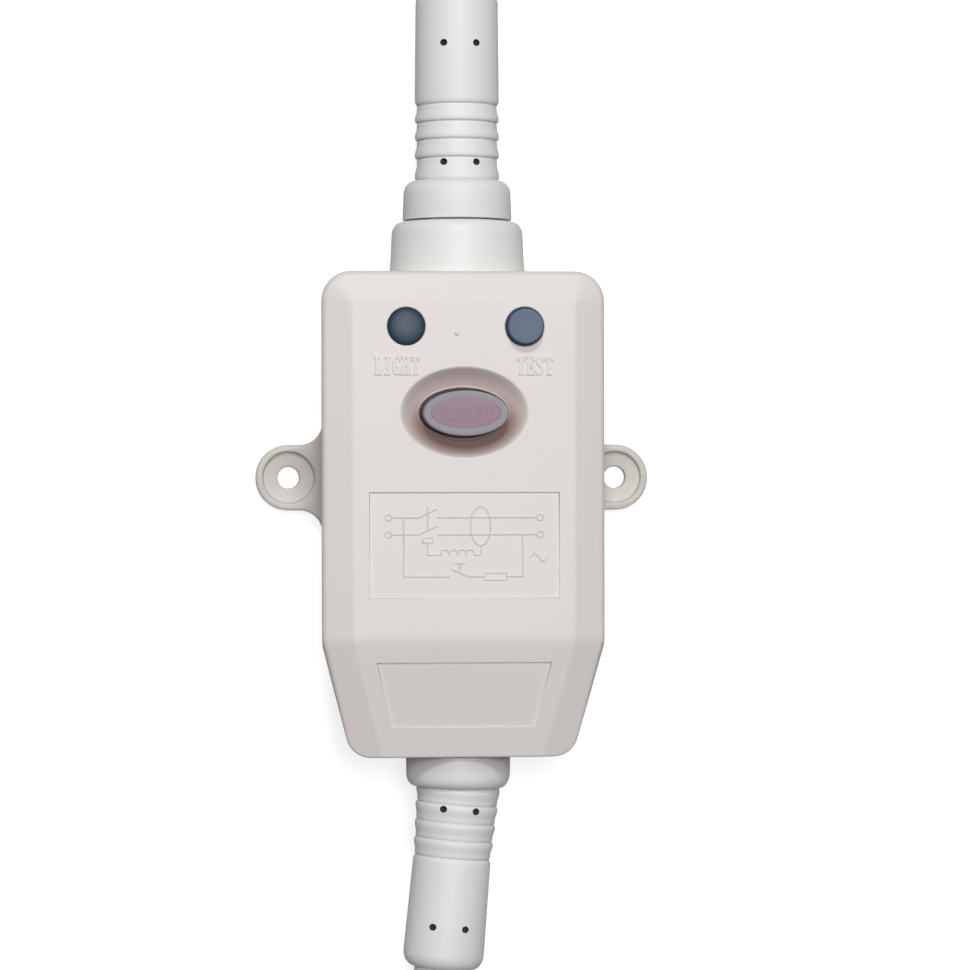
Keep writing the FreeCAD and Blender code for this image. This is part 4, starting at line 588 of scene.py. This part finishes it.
def rim_inside(x, y):
    """How far a spot is inside the case's outline."""
    here = Vector((abs(x), y))
    for number, (middle, radius) in enumerate(ROUNDS):
        away = here - middle
        if WALLS[number][1].cross(away) <= 0 <= WALLS[number + 1][1].cross(away) and away.length > 0:
            return radius - away.length
    return min((spot - here).dot(normal) for spot, normal in WALLS)


def rim_loop(inset):
    """The case's outline moved inwards."""
    right_side = []
    for number, (middle, radius) in enumerate(ROUNDS):
        first, second = WALLS[number][1], WALLS[number + 1][1]
        for step in range(CORNER_STEPS + 1):
            turn = -first.angle(second) * step / CORNER_STEPS
            cosine, sine = math.cos(turn), math.sin(turn)
            way = Vector((first.x * cosine - first.y * sine, first.x * sine + first.y * cosine))
            right_side.append(middle + way * (radius - inset))
    left_side = [Vector((-spot.x, spot.y)) for spot in reversed(right_side)]
    return [tuple(spot) for spot in right_side + left_side]


def skin_height(x, y):
    """Height of the front with its rounded rim and the rounded edges of its openings."""
    rim = FOOT_ROUND + (RIM_ROUND - FOOT_ROUND) * eased((y - END - ROUND_FROM) / ROUND_REACH)
    height = front_height(x, y) - rolled(rim_inside(x, y), rim)
    for centre, reach, radius in OPENINGS:
        away = ring_away(centre, reach, x, y)
        if away < OPENING_REACH:
            height -= rolled(away, radius)
            if reach == OPENING:
                height += LIP_RISE * math.exp(-((away - LIP_AT) / LIP_WIDTH) ** 2)
    return height


def slope(function, x, y, step=0.004):
    """How steeply a function rises to the right and upwards."""
    return (
        (function(x + step, y) - function(x - step, y)) / (2 * step),
        (function(x, y + step) - function(x, y - step)) / (2 * step),
    )


def panel_outlines(inset):
    """The outlines of the two sunk panels, moved inwards."""
    across, along = PANEL_HALF[0] - inset, PANEL_HALF[1] - inset
    low, high = PANEL_Y - along, PANEL_Y + along
    top, top_half, bottom, bottom_half = FOOT_PANEL
    taper = (top_half - bottom_half) / (top - bottom)
    narrow = inset * math.hypot(1, taper)
    upper, lower = top_half - inset * taper - narrow, bottom_half + inset * taper - narrow
    return [
        [(-across, low), (across, low), (across, high), (-across, high)],
        [(-lower, bottom + inset), (lower, bottom + inset), (upper, top - inset), (-upper, top - inset)],
    ]


def plan_lines():
    """Corners and edges that the front's skin follows in plan."""
    spots, edges = [], []

    def trace(line, closed=True):
        start, count = len(spots), len(line)
        spots.extend(Vector(spot) for spot in line)
        edges.extend((start + number, start + number + 1) for number in range(count - 1))
        if closed:
            edges.append((start + count - 1, start))

    for inset in RIM_LINES:
        trace(rim_loop(inset))
    turn = [2 * math.pi * number / TURN_STEPS for number in range(TURN_STEPS)]
    for centre, reach, _ in OPENINGS:
        for shift in OPENING_LINES:
            trace([ring_place(centre, reach, shift, angle) for angle in turn])
    for shift in DISH_LINES:
        trace([ring_place((0.0, RESET_Y), DISH_EDGE, shift, angle) for angle in turn])
    for share in PIP_LINES:
        radius = max(PIP_RADIUS * share, PIP_LEAST)
        trace([(PIP_X + radius * math.cos(angle), PIP_Y + radius * math.sin(angle)) for angle in turn[::8]])
    foot_half = FACE_HALF - FOOT_TAPER * (FOLD - END)
    for shift in SIDE_LINES:
        for side in (-1, 1):
            face_x, foot_x = side * (FACE_HALF + shift), side * (foot_half + shift)
            trace([(face_x, FACE_TOP), (face_x, FOLD), (foot_x, END)], False)
    for shift in TOP_LINES:
        trace([(-FACE_HALF, FACE_TOP + shift), (FACE_HALF, FACE_TOP + shift)], False)
    for shift in FOLD_LINES:
        trace([(FOLD_INSET - HALF, FOLD + shift), (HALF - FOLD_INSET, FOLD + shift)], False)
    for inset in PANEL_LINES:
        for outline in panel_outlines(inset):
            trace(outline)
    for row in range(int((TOP - END) / GRID)):
        for column in range(-GRID_COLUMNS, GRID_COLUMNS + 1):
            spot = (column * GRID + (row % 2) * GRID / 2, END + (row + 0.5) * GRID)
            if rim_inside(*spot) > GRID_INSET:
                spots.append(Vector(spot))
    return spots, edges


def plan_skin():
    """The corners of the front in plan, and its triangles without those in the openings."""
    plan, _, triangles, *_ = delaunay_2d_cdt(*plan_lines(), [], 0, MERGE_WITHIN)
    places = [tuple(spot) for spot in plan]
    faces = []
    for face in triangles:
        (ax, ay), (bx, by), (cx, cy) = (places[corner] for corner in face)
        area = (bx - ax) * (cy - ay) - (by - ay) * (cx - ax)
        x, y = (ax + bx + cx) / 3, (ay + by + cy) / 3
        if abs(area) > NO_AREA and all(ring_away(centre, reach, x, y) > 0 for centre, reach, _ in OPENINGS):
            faces.append(tuple(face) if area > 0 else tuple(reversed(face)))
    used = sorted({corner for face in faces for corner in face})
    new_number = {old: new for new, old in enumerate(used)}
    return [places[old] for old in used], [tuple(new_number[corner] for corner in face) for face in faces]


def border_edges(faces):
    """The edges that only one face has."""
    border = set()
    for face in faces:
        for edge in zip(face, face[1:] + face[:1]):
            if edge[::-1] in border:
                border.discard(edge[::-1])
            else:
                border.add(edge)
    return border


def front_cover():
    """The front cover: skin, side walls, an inside and the short walls of its openings."""
    places, skin = plan_skin()
    count = len(places)
    corners = [(x, y, skin_height(x, y)) for x, y in places]
    inward = [Vector(slope(rim_inside, x, y)).normalized() for x, y in places]
    for (x, y), way in zip(places, inward):
        shift = WALL * (1 - eased(rim_inside(x, y) / INSIDE_REACH))
        corners.append((x + way.x * shift, y + way.y * shift, front_height(x, y) - WALL))

    outer, inner = [], []
    for edge in border_edges(skin):
        at_rim = all(rim_inside(*places[corner]) < AT_RIM for corner in edge)
        (outer if at_rim else inner).append(edge)
    rows = {corner: [corner] for edge in outer for corner in edge}
    for corner, chain in rows.items():
        (x, y), way = places[corner], inward[corner]
        for height, inset in WALL_LEVELS:
            lean = math.copysign(LEAN * (RIM - height) * min(1.0, abs(x) / LEANING_FROM), x)
            chain.append(len(corners))
            corners.append((x + way.x * inset - lean, y + way.y * inset, height))
        chain.append(corner + count)

    walls, plain = [], []
    for first, second in outer:
        for row in range(len(WALL_LEVELS) + 1):
            quad = (rows[first][row], rows[first][row + 1], rows[second][row + 1], rows[second][row])
            (walls if row < SMOOTH_ROWS else plain).append(quad)
    plain += [(first, first + count, second + count, second) for first, second in inner]
    plain += [tuple(corner + count for corner in reversed(face)) for face in skin]
    mesh = mesh_of("front_shell", corners, skin + walls + plain)

    slopes = [slope(skin_height, x, y) for x, y in places]
    normals = [Vector((-east, -north, 1)).normalized() for east, north in slopes]
    side_way = {}
    for corner, chain in rows.items():
        way = inward[corner]
        for spot in chain[:SMOOTH_ROWS + 1]:
            side_way[spot] = Vector((-way.x, -way.y, -LEAN * abs(way.x))).normalized()
    told = [normals[corner] for face in skin for corner in face]
    told += [side_way[corner] for face in walls for corner in face]
    told += [Vector()] * (len(mesh.loops) - len(told))
    mesh.normals_split_custom_set(told)
    finished("front_shell", mesh, "case_plastic", ["front_cover"])


front_cover()


# Raised words and the raised diagram; the letters are 200 high and up to 100 wide

LETTERS = {
    "L": [[(8, 0), (94, 0), (94, 50), (82, 50), (82, 16), (50, 16), (50, 184), (66, 184), (66, 200),
        (8, 200), (8, 184), (24, 184), (24, 16), (8, 16)]],
    "I": [[(20, 0), (80, 0), (80, 16), (63, 16), (63, 184), (80, 184), (80, 200), (20, 200), (20, 184),
        (37, 184), (37, 16), (20, 16)]],
    "G": [[(93, 92), (54, 92), (54, 76), (66, 76), (66, 26), (56, 17), (47, 17), (35, 34), (30, 65),
        (30, 135), (35, 166), (48, 183), (58, 183), (72, 172), (78, 146), (89, 146), (89, 200), (79, 200),
        (75, 191), (62, 200), (46, 200), (23, 186), (9, 160), (4, 130), (4, 70), (9, 40), (23, 14),
        (46, 0), (64, 3), (76, 13), (81, 2), (88, 2), (88, 76), (93, 76)]],
    "H": [[(3, 0), (45, 0), (45, 16), (36, 16), (36, 93), (64, 93), (64, 16), (55, 16), (55, 0), (97, 0),
        (97, 16), (88, 16), (88, 184), (97, 184), (97, 200), (55, 200), (55, 184), (64, 184), (64, 109),
        (36, 109), (36, 184), (45, 184), (45, 200), (3, 200), (3, 184), (12, 184), (12, 16), (3, 16)]],
    "T": [[(22, 0), (78, 0), (78, 16), (63, 16), (63, 182), (83, 182), (83, 155), (95, 155), (95, 200),
        (5, 200), (5, 155), (17, 155), (17, 182), (37, 182), (37, 16), (22, 16)]],
    "E": [[(8, 0), (93, 0), (93, 44), (81, 44), (81, 16), (48, 16), (48, 92), (62, 92), (62, 74),
        (73, 74), (73, 127), (62, 127), (62, 108), (48, 108), (48, 184), (79, 184), (79, 158), (91, 158),
        (91, 200), (8, 200), (8, 184), (23, 184), (23, 16), (8, 16)]],
    "S": [[(9, 2), (18, 2), (24, 12), (42, 0), (56, 0), (78, 12), (90, 36), (90, 62), (78, 86), (56, 104),
        (38, 118), (31, 134), (31, 156), (38, 174), (50, 184), (62, 182), (73, 168), (77, 146), (86, 146),
        (86, 198), (78, 198), (73, 189), (59, 200), (43, 200), (22, 189), (10, 166), (10, 140), (22, 116),
        (44, 98), (62, 84), (69, 68), (69, 44), (62, 26), (48, 16), (36, 17), (23, 30), (18, 56),
        (9, 56)]],
    "R": [[(4, 0), (44, 0), (44, 16), (35, 16), (35, 88), (47, 88), (66, 12), (74, 0), (98, 0), (98, 16),
        (89, 16), (69, 94), (82, 106), (90, 126), (90, 160), (82, 184), (62, 200), (4, 200), (4, 184),
        (12, 184), (12, 16), (4, 16)],
        [(35, 104), (52, 104), (65, 122), (65, 166), (54, 184), (35, 184)]],
}


def raised_word(name, middle, letters, relief, slot, body="case"):
    """The word that starts the name, in raised letters with a soft edge.

    Letters are given by height and pitch, and the relief by the surface's height, the rise and the edge.
    """
    word = name.split("_")[0].upper()
    height, pitch = letters
    surface, rise, edge = relief
    data = bpy.data.curves.new(name, "CURVE")
    data.dimensions = "2D"
    data.fill_mode = "BOTH"
    data.bevel_depth, data.bevel_resolution = edge * MM, 1
    data.extrude = (rise - edge) * MM
    tall, wide = height / 200, pitch / 104
    for number, letter in enumerate(word):
        left = middle[0] + (number - len(word) / 2) * pitch
        for outline in LETTERS[letter]:
            spline = data.splines.new("POLY")
            spline.use_cyclic_u = True
            spline.points.add(len(outline) - 1)
            for point, (x, y) in zip(spline.points, outline):
                point.co = ((left + x * wide) * MM, (middle[1] + y * tall - height / 2) * MM, 0, 1)
    mesh = mesh_from(placed(name + "_maker", data))
    mesh.transform(Matrix.Translation((0, 0, surface * MM)))
    finished(name, smoothed(mesh, 30), slot, body=body)


FACE_LETTERS, FACE_RELIEF = (3.6, 1.86), (FACE, 0.26, 0.1)
raised_word("light_word", (-13.5, 1.35), FACE_LETTERS, FACE_RELIEF, "case_plastic")
raised_word("test_word", (14.2, 1.35), FACE_LETTERS, FACE_RELIEF, "case_plastic")

LINE_RADIUS = 0.21
CONTACT_HEIGHTS = (5.6, 2.2)
COIL_Y, COIL_PITCH, COIL_START = -1.9, 1.7, 1.15
WAVE_X, WAVE_Y, WAVE_LENGTH, WAVE_RISE = 14.9, -2.4, 3.4, 0.8


def diagram_lines():
    """A plain wiring diagram: two lines through a transformer ring, two contacts and a test branch."""
    lines = []
    for height in CONTACT_HEIGHTS:
        lines += [
            [(-14.6, height), (-9.2, height), (-5.6, height + 1.7)], [(-5.4, height), (14.6, height)],
            arc((-15.2, height), (0.6, 0.6), 0, 360), arc((15.2, height), (0.6, 0.6), 0, 360),
        ]
    turns = []
    for number in range(4):
        turns += arc((COIL_START - number * COIL_PITCH, COIL_Y), (COIL_PITCH / 2, 1.1), 0, 180, 6)
    wave = []
    for number in range(17):
        share = number / 16
        rise = WAVE_RISE * math.sin(2 * math.pi * share)
        wave.append((WAVE_X + WAVE_LENGTH * (share - 0.5), WAVE_Y + rise))
    return lines + [
        [(-7.4, 7.9), (-7.4, 3.1)],
        arc((3.2, 3.9), (2.0, 3.9), 0, 360, 28),
        [(3.2, 0.0), (3.2, COIL_Y), (2.0, COIL_Y), *turns, (-7.4, COIL_Y), (-7.4, 0.6)],
        [(-8.4, 0.6), (-6.4, 0.6), (-6.4, 1.5), (-8.4, 1.5), (-8.4, 0.6)],
        [(11.6, 2.2), (11.6, -6.2), (8.4, -6.2)],
        [(8.4, -5.5), (4.0, -5.5), (4.0, -6.9), (8.4, -6.9), (8.4, -5.5)],
        [(4.0, -6.2), (0.6, -6.2), (-2.6, -4.7)],
        [(-3.0, -6.2), (-12.2, -6.2), (-12.2, -2.2), (-12.2, 5.6)],
        [(-1.0, -3.6), (-1.0, -5.3)],
        [(-2.0, -3.6), (0.0, -3.6)],
        wave,
    ]


def ridges(name, lines, surface):
    """Raised rounded lines on the rating panel."""
    data = bpy.data.curves.new(name, "CURVE")
    data.dimensions = "3D"
    data.bevel_depth, data.bevel_resolution = LINE_RADIUS * MM, 3
    data.use_fill_caps = True
    for line in lines:
        spline = data.splines.new("POLY")
        spline.points.add(len(line) - 1)
        for point, (x, y) in zip(spline.points, line):
            point.co = (x * MM, (PANEL_Y + y) * MM, surface * MM, 1)
    mesh = mesh_from(placed(name + "_maker", data))
    mesh.shade_smooth()
    finished(name, mesh, "case_plastic")


ridges("rating_diagram", diagram_lines(), FACE - PANEL_DEPTH)


# Collar and boots

def along_cable(start, way):
    """Places corners of a turned form along the cable's axis."""
    def put(across, high, distance):
        return (across, start + way * distance, AXIS + high)
    return put


COLLAR_PROFILE = [
    (7.7, -4.0), (12.0, -4.0), (12.0, -2.0), (10.0, -2.0), (10.0, 0.0), (13.9, 0.0), (13.92, 0.12),
    (13.82, 0.5), (13.68, 1.4), (13.56, 3.2), (13.44, 5.6), (13.36, 7.6),
    *arc((11.15, 8.0), (2.19, 2.62), 3, 88, 12), (10.9, 10.66), (7.9, 10.68), (7.7, 10.5),
]
collar_mesh = outward(mesh_of("collar", *turned(COLLAR_PROFILE, along_cable(TOP, 1))))
finished("collar", collar_mesh, "case_plastic", ["outlet_collar"], material=collar_plastic)

BORE, NECK, ANCHOR, ANCHOR_THICKNESS = 5.75, 7.5, 9.5, 2.5
HOLE_RADIUS, HOLE_FLOOR, HOLE_TOP, HOLE_SPREAD = 0.7, 5.9, 14.0, 3.3

# Soft edges of a boot: how much narrower it is and how far from the seat or from the crease

FLANGE_EDGE = [(0.25, 0.0), (0.07, 0.07), (0.0, 0.25)]
RIB_START = [(0.3, 0.04), (0.17, 0.12), (0.07, 0.27), (0.02, 0.48), (0.0, 0.75)]
RIB_END = [(0.0, 0.34), (0.05, 0.24), (0.22, 0.16), (0.24, 0.03)]
BARREL_EDGE = [(0.5, 0.02), (0.32, 0.13), (0.17, 0.34), (0.06, 0.7), (0.0, 1.2)]
RIB_FALL = [(0.1, 0.31), (0.38, 0.43), (0.74, 0.56), (0.94, 0.66), (1.0, 0.74)]  # shares of step and pitch


def ribbed(creases, widths, step):
    """Profile of a boot's ribs: each starts wide behind a crease and narrows towards the next one."""
    profile = []
    for wide, start, after in zip(widths, creases, creases[1:]):
        profile += [(wide - drop, start + distance) for drop, distance in RIB_START]
        profile += [(wide - fall * step, start + share * (after - start)) for fall, share in RIB_FALL]
        profile += [(wide - step - drop, after - distance) for drop, distance in RIB_END]
    return profile


def boot_profile(flange, shoulder, creases, widths, step, barrel, length, rounding, seat):
    """The whole boot: anchor and neck inside, flange, shoulder, ribs, barrel and bore."""
    first, last = creases[0], creases[-1]
    return [
        (BORE, -seat - ANCHOR_THICKNESS), (ANCHOR, -seat - ANCHOR_THICKNESS), (ANCHOR, -seat), (NECK, -seat),
        (NECK, 0.0), *[(flange[0] - drop, distance) for drop, distance in FLANGE_EDGE],
        (flange[1], first - shoulder[1] - 0.1),
        *arc((flange[1] - shoulder[0], first - shoulder[1]), (shoulder[0], shoulder[1] - 0.12), 6, 84, 12),
        (widths[0] - 0.14, first - 0.06), *ribbed(creases, widths, step),
        *[(barrel[0] - drop, last + distance) for drop, distance in BARREL_EDGE],
        (barrel[1], length - rounding[1]),
        *arc((barrel[1] - rounding[0], length - rounding[1]), rounding, 4, 86, 10),
        (max(barrel[1] - rounding[0] - 0.1, BORE + 0.15), length), (BORE, length - 0.15),
    ]


def pierced(mesh, holes):
    """The mesh with round holes sunk from the front, painted dark inside as shade; holes gives the middle of
    each in millimetres.
    """
    spots, faces = [], []
    for x, y in holes:
        hole_spots, hole_faces = turned(
            [(HOLE_RADIUS, HOLE_FLOOR), (HOLE_RADIUS, HOLE_TOP)],
            lambda across, along, high: (x + across, y + along, AXIS + high), 24, closed=False,
        )
        faces += [tuple(corner + len(spots) for corner in face) for face in hole_faces]
        spots += hole_spots
    drill = placed("drill", outward(mesh_of("drill", spots, faces)))
    work = placed("work", mesh)
    for thing in (drill, work):
        thing.data.materials.append(SLOTS["boot_plastic"])
        thing.data.materials.append(hole_painted_shade)
    # The holes' walls and floors get the painted shade.
    for face in drill.data.polygons:
        face.material_index = 1
    cutting = work.modifiers.new("holes", "BOOLEAN")
    cutting.operation, cutting.object, cutting.solver = "DIFFERENCE", drill, "EXACT"
    return smoothed(mesh_from(work, drill))


def boot(name, profile, start, way, distances):
    """The mesh of a boot along the cable, with pairs of mould pin holes at distances from its seat."""
    mesh = outward(mesh_of(name, *turned(profile, along_cable(start, way))))
    holes = [(side * HOLE_SPREAD, start + way * away) for away in distances for side in (-1, 1)]
    return pierced(mesh, holes)


OUTLET_SEAT = 31.35
outlet_profile = boot_profile(
    flange=(11.1, 10.9), shoulder=(2.3, 2.85), creases=[8.1, 12.5, 16.2, 19.8, 23.3],
    widths=[8.58, 8.58, 8.56, 8.55], step=0.42, barrel=(8.55, 8.38), length=45.8, rounding=(1.35, 1.6),
    seat=15.2,
)
outlet_mesh = boot("outlet_sleeve", outlet_profile, OUTLET_SEAT, 1, (11.4, 35.4))
finished("outlet_sleeve", outlet_mesh, "boot_plastic", ["outlet_boot"])

BEND_FROM, BEND_TO, BEND, BEND_STEPS = 5.2, 9.2, math.radians(5.2), 24


def bent(spot):
    """A spot of the straight supply boot moved to the leaning one."""
    distance = END - spot.y / MM
    if distance <= BEND_FROM:
        return spot
    angle, x, y = 0.0, 0.0, END - BEND_FROM
    reach = min(distance, BEND_TO) - BEND_FROM
    for number in range(BEND_STEPS):
        angle = BEND * eased((number + 0.5) / BEND_STEPS * reach / (BEND_TO - BEND_FROM))
        x -= math.sin(angle) * reach / BEND_STEPS
        y -= math.cos(angle) * reach / BEND_STEPS
    if distance > BEND_TO:
        angle = BEND
        x -= math.sin(angle) * (distance - BEND_TO)
        y -= math.cos(angle) * (distance - BEND_TO)
    across = spot.x / MM
    return Vector(((x + across * math.cos(angle)) * MM, (y - across * math.sin(angle)) * MM, spot.z))


supply_profile = boot_profile(
    flange=(10.6, 10.55), shoulder=(1.95, 2.9), creases=[6.8, 10.15, 13.86, 17.4, 21.0],
    widths=[8.5, 8.36, 8.2, 8.05], step=0.36, barrel=(7.9, 8.2), length=43.6, rounding=(2.4, 3.0), seat=4.2,
)
supply_mesh = boot("supply_sleeve", supply_profile, END, -1, (11.0, 34.9))
for vertex in supply_mesh.vertices:
    vertex.co = bent(vertex.co)
supply_mesh.update()
finished("supply_sleeve", supply_mesh, "boot_plastic", ["supply_boot"])


# Lens, key and reset button

def stacked(name, rings, middle, steps=96, dome=None):
    """An upright form from (half length, half width, height) rings, closed by a flat or domed top."""
    spots, faces = [], []
    for half_length, half_width, height in rings:
        for number in range(steps):
            angle = 2 * math.pi * number / steps
            x, y = half_length * math.cos(angle), half_width * math.sin(angle)
            spots.append((middle[0] + x, middle[1] + y, height))
    last = (len(rings) - 1) * steps
    for low in range(0, last, steps):
        for number in range(steps):
            after = (number + 1) % steps
            faces.append((low + number, low + after, low + steps + after, low + steps + number))
    faces.append(tuple(reversed(range(steps))))
    if dome is None:
        faces.append(tuple(range(last, last + steps)))
    else:
        spots.append((*middle, dome))
        faces += [(last + number, last + (number + 1) % steps, len(spots) - 1) for number in range(steps)]
    return outward(mesh_of(name, spots, faces))


def circles(pairs):
    """Rings of a round column from (radius, height) pairs."""
    return [(radius, radius, height) for radius, height in pairs]


def ovals(half_length, half_width, pairs):
    """Rings of an oval column; pairs give the inset from its side and the height."""
    return [(half_length - inset, half_width - inset, height) for inset, height in pairs]


lens_rings = circles([
    (4.55, 28.8), (4.55, 30.0), (3.72, 30.0), (3.72, 31.7), (3.68, 31.95), (3.55, 32.15), (3.3, 32.36),
    (3.0, 32.52), (2.62, 32.66), (2.5, 32.67), (2.4, 32.72), (2.0, 32.8), (1.4, 32.87), (0.7, 32.9),
])
lens_mesh = stacked("lens_dome", lens_rings, (LENS_X, LAMP_Y), dome=32.91)
finished("lens_dome", lens_mesh, "lens", ["indicator_lens"])

key_rings = circles([
    (1.5, 17.5), (1.5, 28.8), (4.6, 28.8), (4.6, 30.0), (3.5, 30.0), (3.5, 34.2), (3.48, 34.36),
    (3.4, 34.48), (3.28, 34.57), (3.12, 34.6), (2.6, 34.58), (1.5, 34.54), (0.6, 34.52),
])
key_mesh = stacked("test_key", key_rings, (TEST_X, LAMP_Y), dome=34.52)
finished("test_key", key_mesh, "test_key", ["test_button"], "test")

CAP_STEPS = 120
cap_rings = ovals(8.5, 4.55, [
    (1.15, 31.8), (1.15, 24.2), (-1.3, 24.2), (-1.3, 25.4), (0.0, 25.4), (0.0, 33.2), (0.03, 33.38),
    (0.1, 33.5), (0.2, 33.57), (0.34, 33.6), (1.38, 33.6), (1.5, 33.56), (1.53, 33.3),
])
cap_mesh = stacked("reset_cap", cap_rings, CAP_MIDDLE, CAP_STEPS)
finished("reset_cap", cap_mesh, "reset_rim", ["reset_button"], "reset")

legend_rings = circles([(1.64, 17.75), (1.64, 33.0)]) + ovals(6.98, 3.1, [
    (0.0, 33.0), (0.0, 33.5), (0.06, 33.58), (0.2, 33.62), (0.8, 33.65), (2.0, 33.68),
])
legend_mesh = stacked("reset_legend", legend_rings, CAP_MIDDLE, CAP_STEPS)
finished("reset_legend", legend_mesh, "reset_insert", ["reset_core"], "reset")
raised_word("reset_word", (0.4, CAP_MIDDLE[1]), (2.5, 2.15), (33.67, 0.1, 0.05), "reset_insert", "reset")


# Rear cover, which keeps its solid's shape and gets softly rounded edges

SOFT_WIDTH, SOFT_STEPS, SOFT_FROM, SHARP_FROM = 0.35, 2, 30, 40  # angles in degrees
JOINED_WITHIN, FLAT_WITHIN = 1e-6, 0.6  # metres and degrees


def softened(name, node, slot, material):
    """A copy of a node's solid with its sharp edges rounded, as a mould leaves them."""
    mesh = nodes[node].data.copy()
    mesh.name = name
    form = bmesh.new()
    form.from_mesh(mesh)
    bmesh.ops.remove_doubles(form, verts=form.verts, dist=JOINED_WITHIN)
    flat = math.radians(FLAT_WITHIN)
    bmesh.ops.dissolve_limit(form, angle_limit=flat, verts=form.verts, edges=form.edges)
    form.to_mesh(mesh)
    form.free()
    maker = placed(name + "_maker", mesh)
    soft = maker.modifiers.new("soft_edges", "BEVEL")
    soft.width = SOFT_WIDTH * MM
    soft.segments = SOFT_STEPS
    soft.limit_method = "ANGLE"
    soft.angle_limit = math.radians(SOFT_FROM)
    soft.use_clamp_overlap = False
    made = smoothed(mesh_from(maker), SHARP_FROM)
    made.name = name
    finished(name, made, slot, [node], material=material)


# The back shell gets the darker painted-shade copy of the case plastic.
softened("back_shell", "rear_cover", "case_plastic", back_painted_shade_plastic)


# Springs: node, joint, height of the fixed end, length and travel; each is only a smooth steel copy of its
# solid, and the joint, height, length and travel are not used

SPRINGS = [
    ("reset_spring", "reset_press", 20.2, 11.6, 2.5), ("test_spring", "test_press", 14.9, 13.9, 1.5),
    ("carrier_spring", "contact_move", 10.6, 4.05, 1.25), ("plunger_spring", "trip_pull", 23.1, 3.6, 2.0),
]
for node, joint, foot, length, travel in SPRINGS:
    coil = finished(node + "_coil", smoothed(nodes[node].data.copy(), 50), "steel", [node])
    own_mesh(coil)


# Floor, light and world

FLOOR_SIZE, FLOOR_DROP = 6000.0, 0.2  # millimetres
FLOOR_GREY, FLOOR_GLOW, WORLD_FILL, WORLD_GLOSS = 0.5, 0.74, 0.05, 0.45
WHITE = (1, 1, 1, 1)
LIGHTS = [  # name, place, width and power, in metres and watts
    ("overhead", (0.03, 0.2, 1.6), 0.7, 16.0), ("key", (-0.1, 0.95, 1.3), 0.3, 10.3),
]


def pale_floor():
    """A plain matt floor just under the case, which glows a little where the camera sees it."""
    half = FLOOR_SIZE / 2
    corners = [(-half, -half, 0), (half, -half, 0), (half, half, 0), (-half, half, 0)]
    mesh = mesh_of("floor", corners, [(0, 1, 2, 3)])
    paint = bpy.data.materials.new("floor_paint")
    paint.use_nodes = True
    tree = paint.node_tree
    shader = tree.nodes["Principled BSDF"]
    shader.inputs["Base Color"].default_value = (FLOOR_GREY, FLOOR_GREY, FLOOR_GREY, 1)
    shader.inputs["Roughness"].default_value = 0.9
    shader.inputs["Emission Color"].default_value = WHITE
    seen = add(tree, "ShaderNodeLightPath").outputs["Is Camera Ray"]
    tree.links.new(reckon(tree, "MULTIPLY", seen, FLOOR_GLOW), shader.inputs["Emission Strength"])
    mesh.materials.append(paint)
    floor = placed("floor", mesh)
    floor.location.z = -FLOOR_DROP * MM


def soft_light(name, place, size, power):
    """A round lamp that points at the case."""
    data = bpy.data.lights.new(name, "AREA")
    data.shape = "DISK"
    data.size = size
    data.energy = power
    thing = placed(name, data)
    thing.location = place
    thing.rotation_euler = Vector(place).to_track_quat("Z", "Y").to_euler()


def studio_world():
    """White where the camera looks past the floor, dim for lighting, and brighter in reflections."""
    world = bpy.data.worlds.new("studio")
    world.use_nodes = True
    tree = world.node_tree
    ray = add(tree, "ShaderNodeLightPath").outputs
    seen = tree.nodes["Background"]
    seen.inputs["Color"].default_value = WHITE
    seen.inputs["Strength"].default_value = 1.0
    strength = reckon(tree, "MULTIPLY_ADD", ray["Is Glossy Ray"], WORLD_GLOSS, WORLD_FILL)
    lighting = add(tree, "ShaderNodeBackground", in_0=WHITE, in_1=strength)
    bright, dim = seen.outputs[0], lighting.outputs[0]
    choice = add(tree, "ShaderNodeMixShader", in_0=ray["Is Camera Ray"], in_1=dim, in_2=bright)
    tree.links.new(choice.outputs[0], tree.nodes["World Output"].inputs[0])
    bpy.context.scene.world = world


pale_floor()
for lamp in LIGHTS:
    soft_light(*lamp)
studio_world()
bpy.context.scene.view_settings.view_transform = "Standard"
